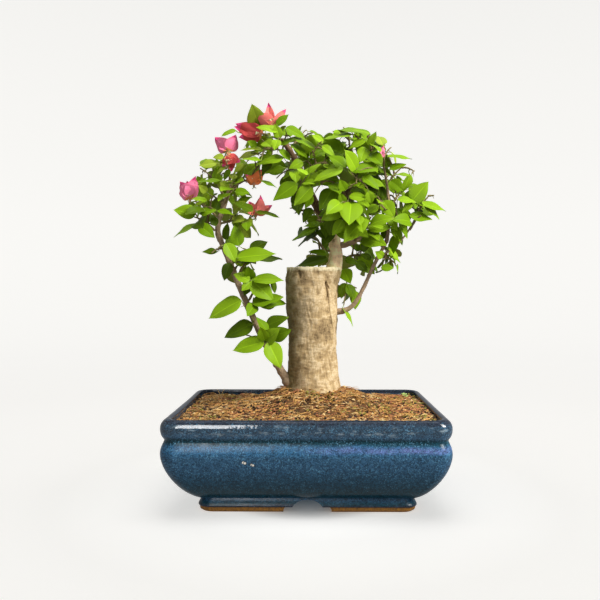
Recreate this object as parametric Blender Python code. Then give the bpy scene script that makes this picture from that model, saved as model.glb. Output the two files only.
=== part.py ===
"""Bougainvillea bonsai: a thick stump with three boughs, its foliage, and a glazed pot.

Metres, +Z up, +X to the right as seen from the front, -Y to the front.  The origin is
under the middle of the pot, at the level of its feet.

Each limb is a tapering tube along a cubic curve.  Each mass of foliage is one solid: a
stem that leaves its limb, side twigs that branch by a seeded rule, and leaves set round
them in a spiral, all fused.  A leaf that would leave the mass's own space, or touch a
limb, its neighbours or another mass, is tried at a few more angles and then skipped.
"""

import math
import random
from collections import namedtuple

import bmesh
import bpy
from mathutils import Matrix, Vector
from mathutils.bvhtree import BVHTree

# Clearances between neighbouring solids
GAP = 0.0003
LEAF_CLEARANCE = 0.0005
# Edges of smooth pieces that stay sharp
SHARP_ANGLE = math.radians(40.0)
# Rays that feel for the host's surface, round a root and at these shares of its radius
ROOT_RAYS = 16
ROOT_SHARES = (0.4, 0.7, 0.9, 1.1, 1.25)

# Pot: the widest section, over the lip and the belly
POT_HALF_X = 0.104
POT_HALF_Y = 0.078
POT_CORNER = 0.011
SMALLEST_CORNER = 0.005
CORNER_TAPER = 0.20
CORNER_STEPS = 4
SIDE_STEPS = (4, 3)
POT_TOP = 0.0702
POT_UNDERSIDE = 0.0104
POT_FLOOR = 0.0184
POT_WALL = 0.0090
DEPTH_SHARE = 0.9
BELLY_HEIGHT = 0.044
BELLY_TUCK = 0.027
BELLY_ROUNDNESS = 1.55
BELLY_STEPS = 6
BELLY_CROWDING = 1.4
SHOULDER_STEPS = 3
SHOULDER_ROUNDNESS = 2.4
GROOVE_HEIGHT = 0.0553
GROOVE_DEPTH = 0.0036
LIP_HEIGHT = 0.0635
RIM_ROUNDING = 0.0050
RIM_WIDTH = 0.0030
LIP_ANGLES = (50, 90)
RIM_ANGLES = (30, 60, 90)
RIM_EASING = 0.0002
RIM_EDGE = 0.0018
INSIDE_LEVELS = (0.052, 0.040, 0.030, 0.023, POT_FLOOR)

# Feet: four L-shaped corners of one ring, with an arch between each pair
FOOT_HALF_X = 0.0805
FOOT_HALF_Y = 0.0600
FOOT_CORNER = 0.009
FOOT_WIDTH = 0.015
FOOT_ARCH_X = 0.018
FOOT_ARCH_Y = 0.016
FOOT_TOP = POT_UNDERSIDE - GAP
FOOT_FLARE = ((0.0, 0.0012), (0.0016, 0.0004), (0.0050, 0.0), (FOOT_TOP, 0.0022))

# Soil: level at the rim, mounded up to the trunk
SOIL_EDGE = 0.0640
SOIL_MOUND = 0.0200
SOIL_SPREAD_X = 0.040
SOIL_SPREAD_Y = 0.032
SOIL_RINGS = (0.12, 0.30, 0.50, 0.72, 0.92, 1.0)
PAD_START = 0.9
PAD_MARGIN = 0.0045
LUMP_HEIGHT = 0.0007
LUMPS_X = 310
LUMPS_Y = 270
LUMPS_SHIFT = 1.3

# Trunk: a stump cut flat at the top, with a collar where each bough leaves it
TRUNK_FOOT = Vector((0.0068, 0.0, 0.0808))
TRUNK_TOP = Vector((0.0046, 0.0, 0.1806))
TRUNK_RADIUS = 0.0203
TRUNK_SIDES = 20
TRUNK_RINGS = 11
TRUNK_WAIST = 0.05
TRUNK_SWELL = 0.035
# how far it stands out, lobes round the trunk, how far they twist on the way up
RIBS = ((0.0006, 3, 9), (0.0004, 5, -14))
ROOT_FLARE = 0.0022
ROOT_FLARE_HEIGHT = 0.012
# azimuth in degrees, height, how far it stands out, its half angle, its half height
COLLARS = (
    (4.0, 0.1806, 0.0072, 30.0, 0.026),
    (-6.0, 0.1430, 0.0022, 18.0, 0.010),
    (198.0, 0.0890, 0.0034, 22.0, 0.010),
    (180.0, 0.1720, 0.0022, 45.0, 0.030),
)

Limb = namedtuple("Limb", "name host share bends radius tip_radius")
# The bends are the curve's two middle points and its tip.
LIMBS = (
    Limb("bough_left_lower", "trunk", 0.0805,
         ((-0.0285, -0.009, 0.101), (-0.0475, -0.012, 0.149), (-0.0705, -0.008, 0.204)),
         0.0039, 0.0028),
    Limb("bough_left_upper", "bough_left_lower", 1.0,
         ((-0.0755, -0.007, 0.216), (-0.066, -0.003, 0.227), (-0.0625, -0.002, 0.249)),
         0.0029, 0.0021),
    Limb("bough_upper_foot", "trunk", None,
         ((0.0265, 0.004, 0.196), (0.0225, 0.005, 0.208), (0.0145, 0.006, 0.2185)),
         0.0076, 0.0048),
    Limb("bough_upper_left", "bough_upper_foot", 1.0,
         ((0.004, 0.008, 0.233), (-0.003, 0.004, 0.262), (-0.020, 0.0, 0.283)),
         0.0046, 0.0026),
    Limb("bough_crown", "bough_upper_foot", 0.70,
         ((0.0300, 0.007, 0.222), (0.0335, 0.009, 0.244), (0.0360, 0.006, 0.266)),
         0.0036, 0.0020),
    Limb("bough_crown_right", "bough_upper_foot", 0.42,
         ((0.0370, -0.001, 0.2000), (0.0480, -0.003, 0.2070), (0.0575, -0.004, 0.2160)),
         0.0031, 0.0017),
    Limb("bough_back", "bough_upper_foot", 0.55,
         ((0.0260, 0.024, 0.208), (0.0270, 0.034, 0.222), (0.0240, 0.038, 0.244)),
         0.0031, 0.0018),
    Limb("bough_right_lower", "trunk", 0.1425,
         ((0.0420, -0.005, 0.147), (0.0460, -0.006, 0.172), (0.0640, -0.006, 0.202)),
         0.0030, 0.0024),
    Limb("bough_right_upper", "bough_right_lower", 1.0,
         ((0.0672, -0.006, 0.221), (0.0650, -0.004, 0.244), (0.0612, -0.003, 0.262)),
         0.0023, 0.0014),
    Limb("bough_right_side", "bough_right_lower", 0.84,
         ((0.0750, -0.012, 0.199), (0.0830, -0.011, 0.212), (0.0890, -0.009, 0.227)),
         0.0019, 0.0012),
)
LIMB_SIDES = 8
LIMB_STEPS = 8
# The top bough is rooted this far inside the cut, and a shoot at a limb's tip just short of it
CUT_ROOT = Vector((0.0008, 0.0006, 0.006))
LAST_ROOT = 0.985

Mass = namedtuple("Mass", "name limb share middle half twigs leaves size flowers seed")
# Each mass keeps to a rounded space, given by its middle and its half sizes.  The stem
# leaves the limb at a share of its length (on the trunk, at a height), leaves counts those
# on the stem, and size is the length of a full-grown blade.
MASSES = (
    Mass("left_1", "bough_left_lower", 0.36, (-0.0355, -0.016, 0.118),
         (0.0235, 0.025, 0.019), 1, 6, 0.029, 0, 5),
    Mass("left_2", "bough_left_lower", 0.52, (-0.045, -0.018, 0.1415),
         (0.0325, 0.025, 0.0175), 1, 6, 0.032, 0, 9),
    Mass("left_3", "bough_left_lower", 0.66, (-0.0395, -0.014, 0.164),
         (0.024, 0.024, 0.015), 1, 5, 0.028, 0, 11),
    Mass("left_4", "bough_left_lower", 0.80, (-0.0425, -0.014, 0.190),
         (0.025, 0.025, 0.016), 1, 5, 0.032, 0, 13),
    Mass("left_5", "bough_left_lower", 0.93, (-0.0675, -0.019, 0.1945),
         (0.0165, 0.025, 0.0155), 1, 5, 0.025, 0, 6),
    Mass("left_6", "bough_left_upper", 0.12, (-0.0855, -0.012, 0.217),
         (0.023, 0.025, 0.017), 1, 6, 0.029, 0, 13),
    Mass("left_7", "bough_left_upper", 0.40, (-0.0905, -0.008, 0.2395),
         (0.0145, 0.023, 0.016), 1, 4, 0.022, 1, 16),
    Mass("left_8", "bough_left_upper", 0.30, (-0.048, -0.010, 0.222),
         (0.017, 0.025, 0.017), 1, 5, 0.024, 1, 8),
    Mass("left_9", "bough_left_upper", 0.78, (-0.084, 0.004, 0.2575),
         (0.0145, 0.023, 0.0155), 1, 5, 0.020, 0, 5),
    Mass("left_10", "bough_left_upper", 1.0, (-0.064, -0.004, 0.272),
         (0.015, 0.024, 0.018), 1, 4, 0.018, 2, 1),
    Mass("left_11", "bough_left_upper", 0.90, (-0.042, 0.004, 0.2595),
         (0.0205, 0.025, 0.0175), 2, 5, 0.022, 1, 1),
    Mass("left_12", "bough_left_upper", 0.66, (-0.0595, -0.014, 0.2415),
         (0.015, 0.022, 0.013), 1, 4, 0.020, 0, 3),
    Mass("left_back", "bough_left_upper", 0.50, (-0.0715, 0.020, 0.240),
         (0.023, 0.025, 0.023), 1, 5, 0.024, 0, 4),
    Mass("left_low_back", "bough_left_lower", 0.82, (-0.062, 0.010, 0.1785),
         (0.0205, 0.025, 0.0205), 1, 5, 0.026, 0, 5),
    Mass("top_1", "bough_upper_left", 1.0, (-0.0335, -0.004, 0.2925),
         (0.023, 0.026, 0.018), 2, 5, 0.020, 2, 4),
    Mass("top_2", "bough_upper_left", 0.90, (-0.006, 0.006, 0.2845),
         (0.0195, 0.028, 0.0155), 2, 5, 0.024, 0, 6),
    Mass("top_3", "bough_upper_left", 0.80, (-0.028, -0.012, 0.2725),
         (0.019, 0.025, 0.019), 2, 5, 0.024, 0, 13),
    Mass("top_4", "bough_upper_left", 0.66, (-0.0145, 0.020, 0.261),
         (0.023, 0.028, 0.023), 1, 5, 0.026, 0, 6),
    Mass("top_5", "bough_upper_left", 0.42, (-0.010, -0.014, 0.2395),
         (0.020, 0.026, 0.019), 1, 5, 0.028, 0, 11),
    Mass("top_6", "bough_upper_left", 0.18, (-0.004, 0.010, 0.2265),
         (0.0195, 0.024, 0.0165), 2, 5, 0.027, 0, 6),
    Mass("top_7", "bough_upper_left", 0.62, (0.006, -0.012, 0.2595),
         (0.021, 0.026, 0.018), 2, 5, 0.028, 0, 1),
    Mass("mid_1", "bough_crown", 1.0, (0.0335, 0.000, 0.282),
         (0.0245, 0.026, 0.015), 2, 5, 0.028, 0, 7),
    Mass("mid_2", "bough_crown", 0.78, (0.015, 0.026, 0.277),
         (0.0235, 0.028, 0.019), 1, 5, 0.028, 0, 11),
    Mass("mid_3", "bough_crown", 0.88, (0.051, -0.008, 0.2725),
         (0.018, 0.026, 0.017), 2, 5, 0.026, 0, 18),
    Mass("mid_4", "bough_crown", 0.58, (0.0175, -0.018, 0.245),
         (0.0205, 0.027, 0.0205), 1, 6, 0.030, 0, 2),
    Mass("mid_5", "bough_crown", 0.48, (0.039, -0.022, 0.250),
         (0.0215, 0.027, 0.0205), 2, 6, 0.030, 0, 12),
    Mass("mid_6", "bough_crown", 0.30, (0.031, -0.026, 0.224),
         (0.0215, 0.026, 0.0195), 2, 6, 0.030, 0, 8),
    Mass("mid_7", "bough_crown", 0.70, (0.0465, 0.024, 0.262),
         (0.0235, 0.028, 0.0235), 1, 6, 0.028, 0, 13),
    Mass("low_1", "bough_upper_foot", 0.90, (0.008, -0.006, 0.2065),
         (0.022, 0.025, 0.012), 2, 6, 0.028, 0, 13),
    Mass("low_2", "bough_upper_foot", 0.30, (0.0055, 0.022, 0.193),
         (0.019, 0.025, 0.0115), 2, 5, 0.027, 0, 5),
    Mass("low_3", "bough_upper_foot", 0.16, (0.044, 0.018, 0.1895),
         (0.018, 0.026, 0.017), 2, 5, 0.026, 0, 11),
    Mass("low_4", "trunk", 0.165, (0.034, 0.010, 0.164),
         (0.0125, 0.025, 0.0185), 0, 5, 0.024, 0, 4),
    Mass("low_5", "bough_crown_right", 0.30, (0.0445, -0.024, 0.209),
         (0.0215, 0.025, 0.0165), 2, 5, 0.027, 0, 1),
    Mass("right_1", "bough_crown_right", 1.0, (0.0625, -0.020, 0.219),
         (0.0165, 0.026, 0.0165), 2, 5, 0.028, 0, 18),
    Mass("right_3", "bough_right_upper", 1.0, (0.061, -0.008, 0.2715),
         (0.012, 0.025, 0.016), 1, 5, 0.022, 0, 17),
    Mass("right_4", "bough_right_upper", 0.74, (0.0745, -0.004, 0.258),
         (0.018, 0.026, 0.016), 2, 5, 0.026, 0, 12),
    Mass("right_5", "bough_right_upper", 0.40, (0.076, 0.006, 0.240),
         (0.0205, 0.026, 0.0185), 2, 5, 0.028, 0, 14),
    Mass("right_6", "bough_right_side", 1.0, (0.095, -0.010, 0.234),
         (0.016, 0.025, 0.016), 2, 5, 0.026, 0, 11),
    Mass("right_7", "bough_right_side", 0.50, (0.085, -0.016, 0.2155),
         (0.0205, 0.026, 0.017), 1, 6, 0.027, 0, 7),
    Mass("right_8", "bough_right_lower", 0.86, (0.0675, 0.002, 0.1855),
         (0.012, 0.025, 0.0155), 1, 5, 0.021, 0, 3),
    Mass("back_1", "bough_back", 1.0, (0.013, 0.046, 0.2655),
         (0.0285, 0.028, 0.033), 2, 7, 0.030, 0, 5),
    Mass("back_2", "bough_back", 0.55, (0.044, 0.044, 0.241),
         (0.0285, 0.028, 0.0285), 2, 7, 0.030, 0, 14),
    Mass("back_3", "bough_right_upper", 0.20, (0.064, 0.026, 0.247),
         (0.0235, 0.028, 0.0275), 1, 6, 0.028, 0, 8),
)

# How a shoot branches
STEM_RADIUS = 0.0010
TWIG_RADIUS = 0.0008
TIP_RADIUS = 0.0006
STEM_BOW = 0.10
STEM_STEPS = 3
STEM_REACH = 0.4
STEM_SET_OUT = 0.6
STEM_CLEAR = 0.008
STEM_SHIFTS = (0.0, 0.12, -0.12, 0.24, -0.24, 0.4, -0.4, 0.6)
FLOWER_DROP = 0.4
FIRST_TWIG = 0.30
LAST_TWIG = 0.75
TWIG_LENGTH = 0.75
TWIG_LENGTHS = (0.8, 1.15)
TWIG_OPENING = math.radians(62.0)
TWIG_PHASE = math.radians(115.0)
TWIG_TURN = math.radians(162.0)
TWIG_STRAY = math.radians(23.0)
TWIG_LIFT = 0.15
TWIG_LEAVES = 3
SPACE_SQUARENESS = 3
SPACE_EASE = 1.3

# How leaves stand on it: each pair of numbers is the range of a seeded draw
FIRST_LEAF = 0.15
FIRST_TWIG_LEAF = 0.35
LAST_START = 0.9
START_STEP = 0.05
GOLDEN_ANGLE = math.radians(137.5)
LEAF_TRIES = 14
LEAF_RETRY = 0.975
RETRY_TURN = 0.7
LEAF_SIZES = (0.80, 1.12)
SMALLER_TO_TIP = 0.22
LEAF_OPENING = math.radians(62.0)
LEAF_OPENINGS = (0.75, 1.25)
TIP_OPENING = 0.35
LEAF_SAG = 0.42
LEAF_SAGS = (0.1, 1.6)
LEAF_FACING = Vector((0.10, -0.80, 0.48))
LEAF_SPREAD = 0.40
LEAF_ROLLS = (-0.5, 0.5)
CROWN_AXIS_Y = 0.004

# A leaf: a pointed oval on a stalk, folded along its midrib and drooping to its tip
LEAF_WIDTH = 0.66
LEAF_WIDTHS = (0.88, 1.12)
LEAF_DROOPS = (12, 48)
LEAF_FOLDS = (8, 24)
STALK_LENGTH = 0.22
STALK_RADIUS = 0.0004
LEAF_THICKNESS = 0.0006
OVAL_BASE = 0.60
OVAL_TIP = 1.25
OVAL_PEAK = OVAL_BASE / (OVAL_BASE + OVAL_TIP)
LEAF_SECTIONS = (0.0, 0.36)

# A flower: three papery bracts that stand round its stalk like a cup
BRACTS = 3
BRACT_LENGTH = 0.020
BRACT_LENGTHS = (0.85, 1.1)
BRACT_WIDTH = 0.86
BRACT_WIDTHS = (0.9, 1.1)
BRACT_STALK = 0.0035
BRACT_OPENING = math.radians(40.0)
BRACT_OPENINGS = (0.8, 1.2)
BRACT_DROOP = math.radians(-18.0)
BRACT_FOLD = math.radians(20.0)
FLOWER_LEAN = Vector((0.0, -0.2, 0.9))

# name: sRGB colour, roughness, metallic
FINISHES = {
    "glaze": ("#334f63", 0.22, 0.0),
    "bare_clay": ("#7d5226", 0.80, 0.0),
    "soil": ("#96703f", 1.0, 0.0),
    "bark": ("#b49a6c", 0.90, 0.0),
    "young_bark": ("#8f7558", 0.85, 0.0),
    "leaf": ("#6f9a2a", 0.45, 0.0),
}

Leaf = namedtuple("Leaf", "root base axis normal length width droop fold kind")
Solid = namedtuple("Solid", "owner centre reach tree")


def linear(hex_colour):
    """An sRGB hex colour as linear RGBA."""
    channels = [int(hex_colour[i:i + 2], 16) / 255 for i in (1, 3, 5)]
    return [c / 12.92 if c <= 0.04045 else ((c + 0.055) / 1.055) ** 2.4 for c in channels] + [1.0]


def material(name):
    """The named finish as a material, made once."""
    made = bpy.data.materials.get(name)
    if made:
        return made
    colour, roughness, metallic = FINISHES[name]
    made = bpy.data.materials.new(name)
    made.use_nodes = True
    shader = made.node_tree.nodes["Principled BSDF"]
    shader.inputs["Base Color"].default_value = linear(colour)
    shader.inputs["Roughness"].default_value = roughness
    shader.inputs["Metallic"].default_value = metallic
    return made


def add_object(name, points, faces, finish, smooth=True):
    """A named object from points and faces, its faces turned outwards."""
    mesh = bpy.data.meshes.new(name)
    mesh.from_pydata([tuple(p) for p in points], [], faces)
    shape = bmesh.new()
    shape.from_mesh(mesh)
    bmesh.ops.recalc_face_normals(shape, faces=shape.faces)
    shape.to_mesh(mesh)
    shape.free()
    mesh.materials.append(material(finish))
    if smooth:
        mesh.shade_smooth()
        mesh.set_sharp_from_angle(angle=SHARP_ANGLE)
    made = bpy.data.objects.new(name, mesh)
    bpy.context.scene.collection.objects.link(made)
    return made


def loft(loops):
    """Points and faces of a closed body through loops of equal length, with flat ends."""
    count = len(loops[0])
    points = [point for loop in loops for point in loop]
    faces = [tuple(range(count)), tuple(range((len(loops) - 1) * count, len(loops) * count))]
    for row in range(len(loops) - 1):
        for i in range(count):
            j = (i + 1) % count
            a = row * count
            faces.append((a + i, a + j, a + count + j, a + count + i))
    return points, faces


def rounded_rectangle(half_x, half_y, corner, z, corner_steps=CORNER_STEPS, side_steps=SIDE_STEPS):
    """A level loop round a rectangle with rounded corners, anticlockwise from +X."""
    corner = min(corner, half_x, half_y)
    loop = []
    for quarter, (sx, sy) in enumerate(((1, 1), (-1, 1), (-1, -1), (1, -1))):
        centre = Vector((sx * (half_x - corner), sy * (half_y - corner), z))
        for step in range(corner_steps + 1):
            angle = math.radians(90 * quarter + 90 * step / corner_steps)
            loop.append(centre + corner * Vector((math.cos(angle), math.sin(angle), 0)))
        following = ((-1, 1), (-1, -1), (1, -1), (1, 1))[quarter]
        start = loop[-1]
        angle = math.radians(90 * quarter + 90)
        end = Vector((following[0] * (half_x - corner), following[1] * (half_y - corner), z))
        end += corner * Vector((math.cos(angle), math.sin(angle), 0))
        steps = side_steps[quarter % 2]
        loop += [start.lerp(end, step / steps) for step in range(1, steps)]
    return loop


def pot_loop(inset, z):
    """The pot's plan at one height, drawn in from its widest section."""
    depth_inset = inset * DEPTH_SHARE
    corner = max(POT_CORNER - CORNER_TAPER * inset, SMALLEST_CORNER)
    return rounded_rectangle(POT_HALF_X - inset, POT_HALF_Y - depth_inset, corner, z)


def belly_inset(z, tuck=BELLY_TUCK, foot=POT_UNDERSIDE):
    """How far the belly is drawn in at a height below its widest."""
    share = max(BELLY_HEIGHT - z, 0.0) / (BELLY_HEIGHT - foot)
    return tuck * (1 - max(0.0, 1 - share ** BELLY_ROUNDNESS) ** (1 / BELLY_ROUNDNESS))


def pot_outside():
    """(inset, z) up the outside: belly, shoulder, groove, lip and rounded rim."""
    profile = []
    for step in range(BELLY_STEPS + 1):
        rise = (step / BELLY_STEPS) ** BELLY_CROWDING
        z = POT_UNDERSIDE + (BELLY_HEIGHT - POT_UNDERSIDE) * rise
        profile.append((belly_inset(z), z))
    for step in range(1, SHOULDER_STEPS + 1):
        share = step / SHOULDER_STEPS
        z = BELLY_HEIGHT + (GROOVE_HEIGHT - BELLY_HEIGHT) * share
        profile.append((GROOVE_DEPTH * share ** SHOULDER_ROUNDNESS, z))
    for angle in LIP_ANGLES:
        turn = math.radians(angle)
        inset = GROOVE_DEPTH * (1 - math.sin(turn))
        z = LIP_HEIGHT - (LIP_HEIGHT - GROOVE_HEIGHT) * math.cos(turn)
        profile.append((inset, z))
    for angle in RIM_ANGLES:
        turn = math.radians(angle)
        inset = RIM_ROUNDING * (1 - math.cos(turn))
        profile.append((inset, LIP_HEIGHT + (POT_TOP - LIP_HEIGHT) * math.sin(turn)))
    return profile


def pot_inside():
    """(inset, z) down the inside, from the rim to the inner floor."""
    rim_inside = RIM_ROUNDING + RIM_WIDTH
    profile = [(rim_inside, POT_TOP - RIM_EASING), (POT_WALL, POT_TOP - RIM_EDGE)]
    for z in INSIDE_LEVELS:
        profile.append((POT_WALL + belly_inset(z, BELLY_TUCK, POT_FLOOR), z))
    return profile


def add_pot():
    """The glazed body of the pot, open at the top."""
    loops = [pot_loop(inset, z) for inset, z in pot_outside() + pot_inside()]
    return add_object("pot", *loft(loops), "glaze")


def add_feet():
    """Four L-shaped feet of bare clay, one under each corner of the pot."""
    for name, sx, sy in (("front_left", -1, -1), ("front_right", 1, -1),
                         ("back_left", -1, 1), ("back_right", 1, 1)):
        loops = []
        for z, inset in FOOT_FLARE:
            half_x, half_y = FOOT_HALF_X - inset, FOOT_HALF_Y - inset
            arch_x, arch_y = FOOT_ARCH_X + inset, FOOT_ARCH_Y + inset
            inner_x, inner_y = FOOT_HALF_X - FOOT_WIDTH, FOOT_HALF_Y - FOOT_WIDTH
            corner = [(half_x - FOOT_CORNER * (1 - math.sin(turn)),
                       half_y - FOOT_CORNER * (1 - math.cos(turn)))
                      for turn in (0, math.pi / 6, math.pi / 3, math.pi / 2)]
            plan = [(arch_x, half_y), *corner, (half_x, arch_y),
                    (inner_x, arch_y), (inner_x, inner_y), (arch_x, inner_y)]
            loops.append([Vector((sx * x, sy * y, z)) for x, y in plan])
        add_object("foot_" + name, *loft(loops), "bare_clay", smooth=False)


def soil_height(x, y):
    """The soil's surface, mounded round the trunk."""
    dx, dy = (x - TRUNK_FOOT.x) / SOIL_SPREAD_X, (y - TRUNK_FOOT.y) / SOIL_SPREAD_Y
    lumps = LUMP_HEIGHT * math.sin(x * LUMPS_X) * math.cos(y * LUMPS_Y + LUMPS_SHIFT)
    return SOIL_EDGE + SOIL_MOUND * math.exp(-(dx * dx + dy * dy) / 2) + lumps


def add_soil():
    """Soil that fills the pot, with a level pad on the mound for the trunk to stand on."""
    sides = [pot_loop(inset + GAP, z) for inset, z in reversed(pot_inside()[2:])]
    sides[0] = [point + Vector((0, 0, GAP)) for point in sides[0]]
    edge = pot_loop(POT_WALL + GAP, SOIL_EDGE)
    pad_radius = TRUNK_RADIUS + ROOT_FLARE + PAD_MARGIN
    loops = [*sides, edge]
    for share in SOIL_RINGS:
        loop = []
        for point in edge:
            away = Vector((point.x - TRUNK_FOOT.x, point.y - TRUNK_FOOT.y, 0))
            ring = TRUNK_FOOT + away.normalized() * pad_radius
            place = point.lerp(ring, share)
            level = TRUNK_FOOT.z - GAP
            height = soil_height(place.x, place.y) if share < PAD_START else level
            loop.append(Vector((place.x, place.y, min(height, level))))
        loops.append(loop)
    return add_object("soil", *loft(loops), "soil")


def trunk_radius(azimuth, z):
    """The trunk's radius in one direction at one height, with its flare and collars."""
    height = z - TRUNK_FOOT.z
    rise = height / (TRUNK_TOP.z - TRUNK_FOOT.z)
    radius = TRUNK_RADIUS * (1 - TRUNK_WAIST * math.sin(math.pi * rise) + TRUNK_SWELL * rise)
    radius += ROOT_FLARE * math.exp(-height / ROOT_FLARE_HEIGHT)
    for stands, lobes, twist in RIBS:
        radius += stands * math.sin(lobes * azimuth + twist * rise)
    for degrees, level, stands, half_angle, half_height in COLLARS:
        turn = math.remainder(azimuth - math.radians(degrees), math.tau)
        around = math.exp(-(turn / math.radians(half_angle)) ** 2)
        radius += stands * around * math.exp(-((z - level) / half_height) ** 2)
    return radius


def add_trunk():
    """The stump, from its flat foot on the soil to the flat cut at its top."""
    loops = []
    for ring in range(TRUNK_RINGS + 1):
        centre = TRUNK_FOOT.lerp(TRUNK_TOP, ring / TRUNK_RINGS)
        loop = []
        for side in range(TRUNK_SIDES):
            azimuth = math.tau * side / TRUNK_SIDES
            out = Vector((math.cos(azimuth), math.sin(azimuth), 0))
            loop.append(centre + out * trunk_radius(azimuth, centre.z))
        loops.append(loop)
    return add_object("trunk", *loft(loops), "bark")


def curve_point(controls, share):
    """A point on the cubic curve with these four control points."""
    a, b, c, d = controls
    rest = 1 - share
    return a * rest ** 3 + b * (3 * share * rest ** 2) + c * (3 * share ** 2 * rest) + d * share ** 3


def tube(path, radii, sides, setting_out=None):
    """Points and faces of a tapering tube along a path, its rings turned as little as can be."""
    loops = []
    across = None
    for i, point in enumerate(path):
        ahead = path[min(i + 1, len(path) - 1)] - path[max(i - 1, 0)]
        if i == 0 and setting_out:
            ahead = setting_out.copy()
        ahead.normalize()
        if across is None:
            across = ahead.orthogonal().normalized()
        across = (across - ahead * across.dot(ahead)).normalized()
        upward = ahead.cross(across)
        turns = [math.tau * side / sides for side in range(sides)]
        loops.append([point + radii[i] * (across * math.cos(t) + upward * math.sin(t)) for t in turns])
    return loft(loops)


def solid_of(owner, points, faces):
    """What the growth needs to know of a solid: its owner, its reach and its surface."""
    centre = sum(points, Vector()) / len(points)
    reach = max((point - centre).length for point in points)
    return Solid(owner, centre, reach, BVHTree.FromPolygons(points, faces))


def attach(tree, inner, outer, radius):
    """Where a limb of this radius starts, just clear of the surface that it leaves."""
    back = (inner - outer).normalized()
    across = back.orthogonal().normalized()
    origins = [outer]
    for step in range(ROOT_RAYS):
        rim = across.copy()
        rim.rotate(Matrix.Rotation(math.tau * step / ROOT_RAYS, 3, back))
        origins += [outer + rim * (radius * share) for share in ROOT_SHARES]
    reaches = [tree.ray_cast(origin, back)[3] for origin in origins]
    return outer + back * (min(reach for reach in reaches if reach is not None) - GAP)


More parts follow.
